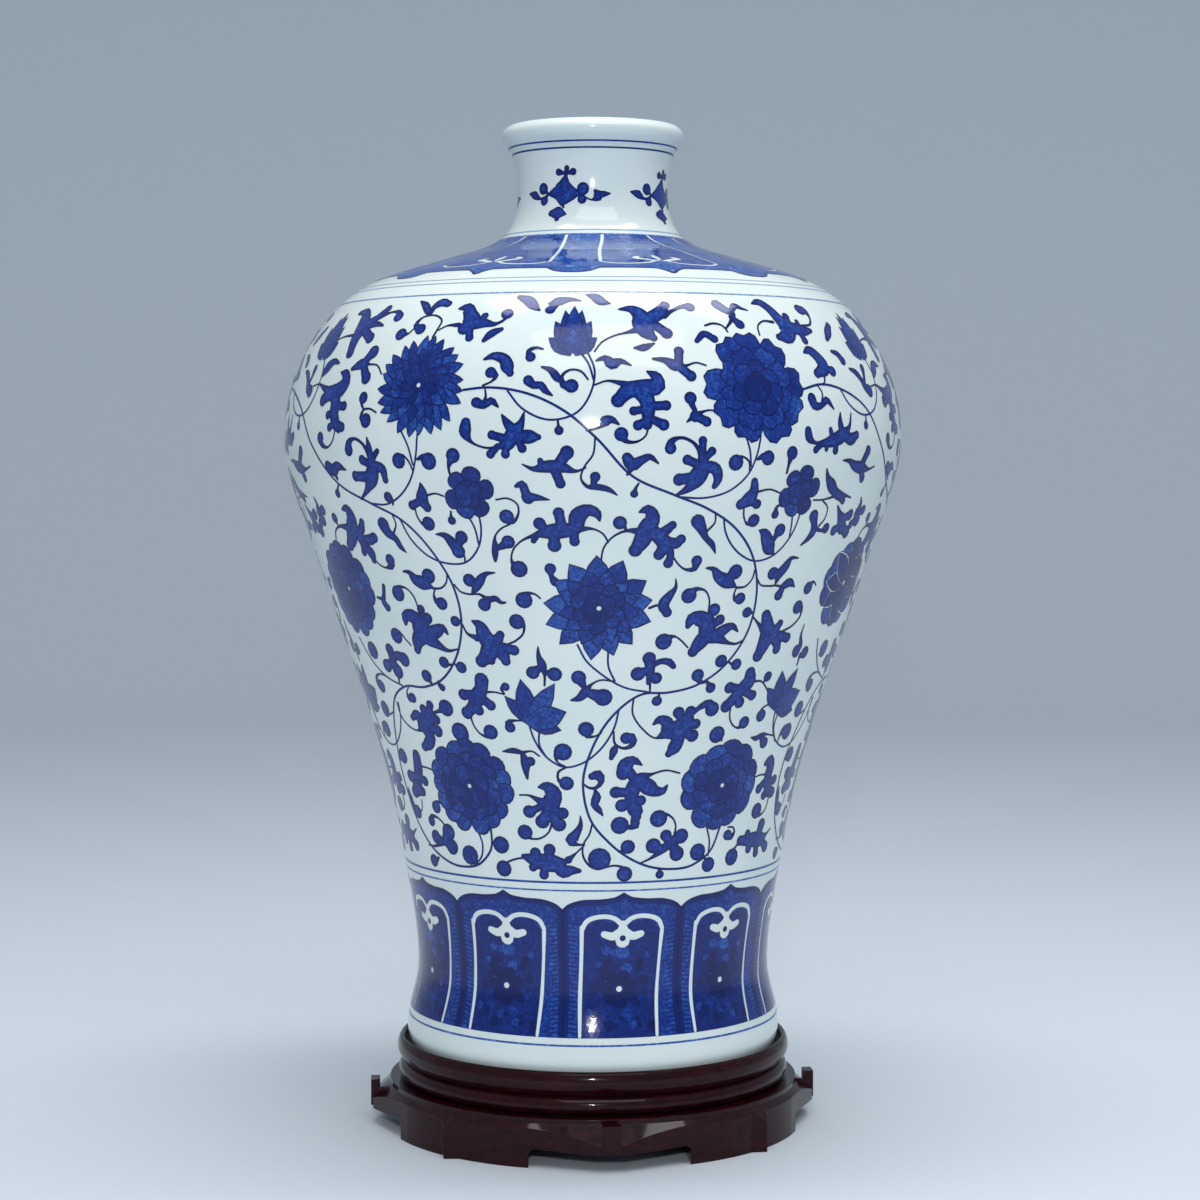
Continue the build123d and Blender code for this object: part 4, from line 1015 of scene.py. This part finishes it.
     [(19, 281.5, 0.8), (20.8, 284.5, 1), (22.5, 282.5, 1.1)]],
    [[(-0.8, 266.5), (-2, 269.5, 0.4), (-4, 270, 0.45), (-5.3, 267.5, 0.7), (-5, 264.8, 1),
     (-3.6, 264.2, 1.5)], [(-8.8, 271.2, 0.4), (-7.2, 270, 0.9), (-6, 267, 1), (-5.3, 265.5, 0.5)]],
    [[(-11, 266.3, 1.2), (-10, 264.5, 1), (-8.8, 264.5, 1), (-8, 262.5, 0.9), (-6.8, 260.8)]],
    [[(-19.3, 274.3, 0.5), (-17.8, 275.5, 1), (-15.5, 274, 1.3), (-14.8, 271, 1.4), (-14.3, 269, 1)],
     [(-19, 264.5, 0.4), (-17.3, 266.3, 0.5), (-16.8, 268, 0.9), (-17.8, 269.3, 1.3)]],
    [[(-18.5, 263), (-18.3, 260.5, 0.5), (-18.6, 258, 0.9)],
     [(-20, 258.5, 1.2), (-18.5, 257.5, 1), (-17.3, 259, 1), (-16, 256.8, 0.4)]],
    [[(-8.8, 278, 0.4), (-10, 278.6, 0.6), (-11.3, 277.3, 0.8), (-10.9, 275, 1.2)]],
    [[(-5.8, 251.8, 0.4), (-5.7, 250.1, 0.6), (-5.6, 248.5, 1.1)]],
    [[(42, 278, 0.5), (43.5, 279, 1.2), (45.3, 276.5, 1.4), (46.3, 272.5, 1.7), (44, 270, 1.2)],
     [(47, 272, 1), (48.5, 271, 1.3)], [(45.8, 270, 0.6), (45.5, 267, 0.4), (44.8, 265.7)]],
    [[(41.3, 260.5, 1.3), (41.8, 258, 1.2), (43.5, 258, 0.9), (45, 260, 1), (46.8, 256.8)],
     [(43.3, 265.5), (44.2, 262.5), (43.8, 259.5, 0.5)]],
    [[(57, 255, 0.4), (56.9, 253, 0.6), (56.8, 251.2, 1.1)]],
    [[(50.3, 279, 0.7), (52, 278, 1), (53, 275.5, 1.2)]],
    [[(51.2, 221, 0.4), (52.4, 218.3, 0.9), (54, 215.2, 1.5), (55, 212.3, 1.6)],
     [(53.8, 215.5, 1.1), (56.6, 217.3, 1.4)], [(54.6, 213.5, 1.1), (52.3, 211.3, 1.3)],
     [(55, 212.3, 1.2), (57.2, 210.5, 1.5)]],
    [[(59.2, 224, 0.4), (59.8, 221, 0.9), (59.4, 217.8, 1.3), (60.2, 215, 1.5)],
     [(59.6, 218, 1), (61.8, 219, 1.3)], [(59.8, 216, 0.9), (58.2, 213.5, 1.2)]],
    [[(50.5, 284, 0.8), (52, 287, 1.2), (53.8, 290.5, 1)]],
    [[(54.5, 272.3, 0.6), (56.5, 271, 1), (58, 268, 1), (59, 265.3, 1.2), (60.3, 264.2, 1.5)],
     [(59.8, 273, 1.1), (59.5, 270, 0.8), (59, 267.5, 0.8)]],
]

flowerKinds = {
    # count, turn, start, length, half width, shape, tone; the outermost ring first
    "serrated": [(24, 4, 7, 12, 2.7, "slender", 0.5), (17, 0, 4.5, 10, 2.6, "pointed", 0.44),
                 (11, 9, 1.5, 8, 2.5, "pointed", 0.36)],
    "notched": [(9, 0, 5, 16, 5.9, "notched", 0.46), (8, 22, 3, 13, 5.0, "notched", 0.42),
                (7, 0, 1, 10, 4.2, "round", 0.36), (5, 20, 0, 6, 3.2, "round", 0.28)],
    "pointed": [(13, 0, 6, 13.8, 4.2, "pointed", 0.54), (13, 14, 4, 11, 3.6, "pointed", 0.5),
                (10, 0, 2, 8.4, 3.2, "round", 0.4), (7, 12, 0.3, 6, 2.6, "round", 0.28)],
    "rounded": [(15, 6, 8, 11, 4.2, "round", 0.48), (13, 0, 4, 10, 3.9, "round", 0.42),
                (9, 10, 1.5, 8, 3.4, "round", 0.34)],
    "broad": [(12, 8, 7, 11, 4.9, "round", 0.48), (10, 0, 3.5, 9.6, 4.1, "round", 0.42),
              (7, 20, 1, 7, 3.3, "round", 0.34)],
    "small": [(6, 20, 2, 8, 3.6, "round", 0.4), (5, 0, 0, 5.6, 2.9, "round", 0.32)],
    "edged": [(8, 10, 1.2, 16, 4.4, "pointed", 0.26)],  # its line is left white
}
scrollBlooms = [
    # centre, kind, heart radius
    ((-31.5, 265), "serrated", 2.8), ((29.5, 264), "notched", None), ((-22, 226), "small", None),
    ((39.5, 226.5), "small", None), ((-34, 112), "rounded", 2.8), ((36, 112), "broad", 2.6),
]
middleBlooms = [((1.2, 183), "pointed", 2.0), ((64, 190), "broad", None), ((64, 190), "edged", None),
                ((-61, 188), "rounded", 2.6)]
halfBlossom = [
    (-9, 6, 3.2, 0.42), (8.6, 6, 3.2, 0.42), (-7, 13, 3.4, 0.42), (6.5, 13, 3.4, 0.46),
    (-3.5, 18, 3.2, 0.4), (3, 18, 3.2, 0.42), (0, 20, 3.4, 0.46), (-4.4, 9, 3.6, 0.42),
    (4.4, 9, 3.6, 0.48), (0, 10, 3.8, 0.44),
]
sideFlowers = [
    # base, then its tips
    ((-14.8, 138.2), [(-8.6, 10.5, 2.7, 0.42), (-2, 17.3, 3.7, 0.42), (10, 15.8, 3.5, 0.55),
                      (11.5, -2.8, 3.3, 0.42), (13.6, 4.6, 4.7, 0.5)]),
    ((50, 141), [(-8.8, 9, 3.0, 0.42), (-3, 15.5, 3.6, 0.42), (6.5, 16, 3.2, 0.4), (11.8, -1.5, 3.4, 0.42),
                 (13.4, 6.3, 4.8, 0.46)]),
    ((-3.5, 276.5), halfBlossom),
    ((61.5, 277.5), halfBlossom),
]


def squeezed(painting, share):
    return [([(angle * share, rise) for angle, rise in outline], tone) for outline, tone in painting]


def paintScroll():
    repeats, spread = scroll["repeats"], scroll["spread"]
    share = 360 / repeats / scroll["measured"]
    painting = []
    for strokes, half in ((scrollStems, scroll["stem"]), (scrollVines, scroll["vine"])):
        for points in strokes:
            brushStroke(painting, inked(points, half), scroll["vineTone"], step=scroll["vineStep"])
    layPainting("scroll_vines", squeezed(painting, share), repeats, spread, scroll["vineLift"])
    for band, low, high in scroll["bands"]:
        painting = []
        for strokes in scrollLeaves:
            if low <= strokes[0][0][1] < high:
                paintLeaf(painting, strokes)
        layPainting(f"scroll_{band}_leaves", squeezed(painting, share), repeats, spread)
    painting = []
    for centre, kind, heart in scrollBlooms:
        paintBloom(painting, centre, flowerKinds[kind], heart, brush["line"])
    for base, tips in sideFlowers:
        paintFan(painting, base, tips)
    layPainting("scroll_flowers", squeezed(painting, share), repeats, spread, scroll["flowerLift"])
    painting = []
    for centre, kind, heart in middleBlooms:
        line = None if kind == "edged" else brush["line"]
        paintBloom(painting, centre, flowerKinds[kind], heart, line)
    layPainting("scroll_middle_flowers", squeezed(painting, share), scroll["middleRepeats"], spread,
                scroll["flowerLift"])


paintScroll()


def mirrored(points):
    return [(-spot[0], *spot[1:]) for spot in points]


def shifted(painting, turn):
    return [([(angle + turn, rise) for angle, rise in outline], tone) for outline, tone in painting]


def dabs(painting, seed, count, left, right, low, high, tones):
    # Loose brush dabs inside a panel
    loose = random.Random(seed)
    for k in range(count):
        angle, rise = loose.uniform(left, right), loose.uniform(low, high)
        spot = roundSpot(angle, rise, loose.uniform(*brush["dab"]), corners=8)
        painting.append((spot, loose.choice(tones)))


# The lappets over the foot. A panel is drawn about its middle
panelFoot, panelNotch, panelTip = 17.2, 65.3, 72.2
lowerPanels = {
    "count": 10,
    "centre": 9.0,
    "ground": 0.46,
    "crown": [(18, panelNotch), (16.2, 67.6), (13.2, 69.1), (6, 69.8), (2.2, 70.6), (0, panelTip)],
    "crownLines": [(1.1, 1.1, 0.26), (0.4, 0.5, 0.06)],  # drop below the crown, half width, tone
    # bands up a side: angle at the foot and at the top, rise at the top, half width, tone
    "wash": (15.2, 15, 59, 1.6, 0.54),
    "sideLines": [(17.2, 17.2, 64, 1.0, 0.2), (17.8, 17.8, panelNotch, 0.4, 0.04)],
    "hatch": {"count": 26, "start": 1.6, "pitch": 1.65, "tone": 0.3,
              "stroke": [(14, 0, 0.28), (16.6, 0.5, 0.36)]},
    "inside": [(-12.8, panelFoot), (10.8, panelFoot), (11.8, 57), (8, 62), (0, 60), (-8, 62), (-12.3, 57)],
    "insideTone": 0.3,
    # seed, count, left, right, low, high, tones
    "dabs": [(5, 14, -10.5, 8.5, 20, 51, (0.42, 0.5, 0.56)), (6, 26, -10.8, 9, 19, 48, (0.0, 0.06, 0.12))],
    # a petal is start, length and half width
    "flower": {"centre": (-0.9, 35.3), "count": 7, "pitch": 51, "turn": 20, "petal": (1.4, 6.0, 2.3),
               "tones": (0.02, 0.04, 0.06)},
    # angle, rise, radius, tone
    "spots": [(-0.9, 35.3, 1.9, 0.3), (-0.9, 35.3, 1.1, None), (0, 49.3, 2.6, 0.6)],
    "whiteSides": [[(-12.9, panelFoot + 0.6, 0.6), (-13, 30, 0.75), (-12.5, 48, 0.7), (-12.3, 59, 0.8)],
                   [(10.3, panelFoot + 0.6, 0.6), (10.9, 30, 0.7), (11.8, 48, 0.6), (12.2, 57, 0.8)]],
    "whitePairs": [[(12.2, 58, 0.8), (11, 61, 0.9), (7, 63, 0.9), (2.6, 62.3, 0.9), (0.4, 60, 1.0)],
                   [(0.6, 57.5, 1.4), (3, 55.4, 1.6), (5.6, 56.2, 1.3)]],
    "whiteTongue": [(0, 60.5, 1.0), (0, 57, 2.4), (0, 53.6, 2.7)],
    "eye": (0, 54.6, 1.15, 0.1),
}


def paintSide(painting, spec, side):
    def band(foot, top, rise, half, tone):
        run = [(side * foot, panelFoot + half, half), (side * top, rise, half)]
        brushStroke(painting, run, tone, step=brush["longStep"])

    hatch = spec["hatch"]
    band(*spec["wash"])
    for k in range(hatch["count"]):
        start = panelFoot + hatch["start"] + hatch["pitch"] * k
        run = [(side * angle, start + rise, half) for angle, rise, half in hatch["stroke"]]
        brushStroke(painting, run, hatch["tone"])
    for line in spec["sideLines"]:
        band(*line)


def paintWhite(painting, spec):
    # White reserves: each pair's right one is drawn, and the tongue lies in the middle
    for points in spec["whitePairs"]:
        brushStroke(painting, points, None)
        brushStroke(painting, mirrored(points), None)
    brushStroke(painting, spec["whiteTongue"], None)


def paintLowerPanels(spec):
    half, crown, flower = 180 / spec["count"], spec["crown"], spec["flower"]
    outline = [(-half, panelFoot), (half, panelFoot)] + crown + mirrored(crown[:-1])[::-1]
    painting = [(outline, spec["ground"])]
    for side in (-1, 1):
        paintSide(painting, spec, side)
    for top in (crown, mirrored(crown)):
        for drop, width, tone in spec["crownLines"]:
            brushStroke(painting, [(angle, rise - drop, width) for angle, rise in top], tone)
    painting.append((spec["inside"], spec["insideTone"]))
    for row in spec["dabs"]:
        dabs(painting, *row)
    for k in range(flower["count"]):
        direction = flower["pitch"] * k + flower["turn"]
        petal = petalOutline(flower["centre"], direction, *flower["petal"], "round")
        painting.append((petal, flower["tones"][k % len(flower["tones"])]))
    painting += [(roundSpot(*spot), tone) for *spot, tone in spec["spots"]]
    for points in spec["whiteSides"]:
        brushStroke(painting, points, None, step=brush["longStep"])
    paintWhite(painting, spec)
    *spot, tone = spec["eye"]
    painting.append((roundSpot(*spot), tone))
    layPainting("lower_panels", shifted(painting, spec["centre"]), spec["count"])


paintLowerPanels(lowerPanels)

# The lappets that hang over the shoulder from the neck's ring
cusp, scallop, neckRing = 316.8, 320.9, 371.2
shoulderPanels = {
    "count": 8,
    "centre": 18.0,
    "spread": 4.5,
    "ground": 0.62,
    "edge": [(0, cusp - 0.3), (1.5, scallop - 1.9), (3.2, scallop), (10, scallop + 0.3), (16.6, scallop),
             (18.2, cusp + 1.6), (20.2, cusp + 0.2), (22.5, cusp)],
    "edgeLine": (0.4, 0.45, 0.2),  # how far over the edge, half width, tone
    "inside": [(-16, 329.5), (-8, 327.5), (0, 331), (8, 327.5), (16, 329.5), (15.4, 350),
               (13, neckRing - 0.5), (-13, neckRing - 0.5), (-15.4, 350)],
    "insideTone": 0.54,
    "dabs": [(11, 22, -11, 11, 334, 368, (0.36, 0.44, 0.62, 0.7)),
             (12, 10, 17.5, 22, 322, 366, (0.4, 0.5, 0.72))],
    "whitePairs": [[(16.1, 329.3, 0.6), (15.6, 350, 0.6), (13, neckRing - 0.8, 0.55)],
                   [(16.1, 329.3, 0.6), (14, 327.4, 0.65), (8, 326.9, 0.7), (3.6, 328.6, 0.7),
                    (1.4, 331.5, 0.8)],
                   [(0.8, 331, 0.8), (3.6, 333.2, 1.3), (6.2, 335.6, 1.4), (5.2, 338, 0.8)]],
    "whiteTongue": [(0, 333, 0.9), (0, 337, 1.2), (0, 340, 0.8)],
}


def paintShoulderPanels(spec):
    half = 180 / spec["count"]
    edge = mirrored(spec["edge"][1:])[::-1] + spec["edge"]
    over, width, tone = spec["edgeLine"]
    painting = [(edge + [(half, neckRing), (-half, neckRing)], spec["ground"])]
    brushStroke(painting, [(angle, rise + over, width) for angle, rise in edge], tone)
    painting.append((spec["inside"], spec["insideTone"]))
    for row in spec["dabs"]:
        dabs(painting, *row)
    paintWhite(painting, spec)
    layPainting("shoulder_panels", shifted(painting, spec["centre"]), spec["count"], spec["spread"])


paintShoulderPanels(shoulderPanels)

neckSprig = {
    "count": 4,
    "spread": -3.5,
    "strokes": [
        [(-38, 389.6, 0.4), (-31, 390, 1.4), (-24, 390, 2.6), (-17, 389.6, 1.7), (-10, 389.6, 0.5)],
        [(-24, 391, 2.0), (-22.5, 394.5, 1.2), (-21.5, 396.5, 0.6)],
        [(-27.6, 397.8, 1.0), (-22, 397.3, 0.6), (-15.6, 397.8, 1.0)],
        [(-21.5, 397, 0.8), (-20.6, 399.3, 0.9)],
        [(-38, 390, 0.4), (-42.5, 391.9, 1.4)], [(-38, 389.6, 0.4), (-41, 387.2, 1.2)],
        [(-40, 388.4, 0.4), (-46, 388.2, 0.6), (-51, 389.6, 1.1), (-58.5, 390.5, 0.4)],
        [(-11, 389.8, 0.5), (-7.8, 391.3, 1.5)], [(-11, 389.4, 0.5), (-8.5, 387.3, 1.2)],
        [(-6, 388, 0.4), (-1, 387), (4.5, 388.8, 1.3), (2.2, 390.3, 0.8)],
        [(4.5, 389, 1.0), (9, 389.3, 0.9), (14, 389.5, 0.3)],
        [(-27.5, 387.6, 0.5), (-25.5, 385.8, 0.4), (-23, 384.3, 0.5)],
        [(-32.6, 382, 1.0), (-27.5, 382, 1.5), (-20.5, 381.4, 0.4)],
        [(-27.3, 381.5, 0.8), (-27, 379.4, 0.9)],
    ],
}
ringLines = {
    "repeats": 12,
    "step": 1.5,
    # rise, half width, tone
    "lines": [(14.4, 0.35, 0.72), (73.1, 0.3, 0.74), (76.2, 0.4, 0.55), (303.7, 0.3, 0.85),
              (310.6, 0.25, 0.95), (313.2, 0.25, 0.95), (neckRing, 0.45, 0.8), (374.0, 0.35, 0.95),
              (407.0, 0.35, 0.35), (409.8, 0.35, 0.5)],
}


def paintNeckSprigs(spec):
    painting = []
    paintLeaf(painting, spec["strokes"])
    layPainting("neck_sprigs", painting, spec["count"], spec["spread"])


def paintRingLines(spec):
    painting, reach = [], 180 / spec["repeats"]
    for rise, half, tone in spec["lines"]:
        brushStroke(painting, [(-reach, rise, half), (reach, rise, half)], tone, step=spec["step"])
    layPainting("ring_lines", painting, spec["repeats"])


paintNeckSprigs(neckSprig)
paintRingLines(ringLines)
bpy.data.objects.remove(wallRail)


# Grain runs across the front and back segments and front to back in the others
grainAcross = lacqueredRosewood("lacqueredRosewoodAcross", 0)
grainAlong = lacqueredRosewood("lacqueredRosewoodAlong", 1)
joinery = bareBeech()
standFinish = {"seat_dowels": joinery, "segment_keys": joinery, "base_segment_left": grainAlong,
               "base_segment_right": grainAlong}
for nodeName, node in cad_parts.items():
    if nodeName != "vase_body":
        node.data.materials.clear()
        node.data.materials.append(standFinish.get(nodeName, grainAcross))
print("stand finished")


def setCamera(spec):
    lens = bpy.data.cameras.new("photoCamera")
    lens.lens = spec["lens"]
    lens.sensor_width = spec["sensor"]
    eye = bpy.data.objects.new("photoCamera", lens)
    bpy.context.scene.collection.objects.link(eye)
    turn = math.radians(spec["round"])
    away = spec["distance"] * mm
    eye.location = (away * math.sin(turn), -away * math.cos(turn), spec["height"] * mm)
    eye.rotation_euler = (math.radians(90 - spec["pitch"]), 0, turn - math.radians(spec["yaw"]))
    bpy.context.scene.camera = eye


# Places and sizes in metres
studio = {
    "worldColor": "#E4ECF2",
    "worldStrength": 0.46,
    "paperColor": "#E3EBF3",
    "paperMiddle": 0.5,  # radius of the flat piece under the stand
    "paperReach": 2.6,  # from the vase to the paper's wall, all round
    "paperBend": 0.9,
    "paperTop": 1.6,
    "bendSteps": 16,
    "sides": 96,
    "softLamps": [
        # name, place, aim, width, depth, power
        ("topLamp", (0.1, -0.05, 1.3), (0.1, -0.05, 0), 1.1, 0.3, 7),
        ("windowLamp", (0.04, -0.7, 1.14), (0, 0, 0.34), 0.9, 0.5, 3.5),
    ],
    "flash": {"place": (-0.1, -1.12, 0.42), "aim": (0, 0, 0.2), "radius": 0.028, "spread": 55,
              "power": 12},
}


def palePaper(code):
    # Matt studio paper
    material, tree, shader = newMaterial("palePaper")
    plug(tree, shader, {"Base Color": hexColor(code), "Roughness": 0.85})
    return material


def layPaper(spec):
    reach, bend, steps, sides = spec["paperReach"], spec["paperBend"], spec["bendSteps"], spec["sides"]
    outline = [(spec["paperMiddle"], 0), (reach - bend, 0)]
    for k in range(1, steps + 1):
        lean = math.pi / 2 * k / steps
        outline.append((reach - bend + bend * math.sin(lean), bend - bend * math.cos(lean)))
    outline.append((reach, spec["paperTop"]))
    turns = [math.tau * k / sides for k in range(sides)]
    corners = [(r * math.cos(t), r * math.sin(t), z) for r, z in outline for t in turns]
    faces = [tuple(range(sides))]
    for first in range(0, sides * (len(outline) - 1), sides):
        for k in range(sides):
            here, ahead = first + k, first + (k + 1) % sides
            faces.append((here, here + sides, ahead + sides, ahead))
    mesh = bpy.data.meshes.new("sweep")
    mesh.from_pydata(corners, [], faces)
    mesh.materials.append(palePaper(spec["paperColor"]))
    for face in mesh.polygons:
        face.use_smooth = True
    sweep = bpy.data.objects.new("sweep", mesh)
    bpy.context.scene.collection.objects.link(sweep)


def hangLamp(light, place, aim):
    lamp = bpy.data.objects.new(light.name, light)
    lamp.location = place
    lamp.rotation_euler = (Vector(aim) - Vector(place)).to_track_quat("-Z", "Y").to_euler()
    bpy.context.scene.collection.objects.link(lamp)


def setLamps(spec):
    for name, place, aim, width, depth, power in spec["softLamps"]:
        light = bpy.data.lights.new(name, "AREA")
        light.shape = "RECTANGLE"
        light.size = width
        light.size_y = depth
        light.energy = power
        hangLamp(light, place, aim)
    flash = bpy.data.lights.new("flash", "SPOT")
    flash.shadow_soft_size = spec["flash"]["radius"]
    flash.spot_size = math.radians(spec["flash"]["spread"])
    flash.spot_blend = 1.0
    flash.energy = spec["flash"]["power"]
    hangLamp(flash, spec["flash"]["place"], spec["flash"]["aim"])


def setWorld(spec):
    world = bpy.data.worlds.new("studio")
    world.use_nodes = True
    plug(world.node_tree, world.node_tree.nodes["Background"], {
        "Color": hexColor(spec["worldColor"]), "Strength": spec["worldStrength"]})
    bpy.context.scene.world = world
    bpy.context.scene.view_settings.view_transform = "Standard"


setCamera(camera)
setWorld(studio)
layPaper(studio)
setLamps(studio)
print("studio set")
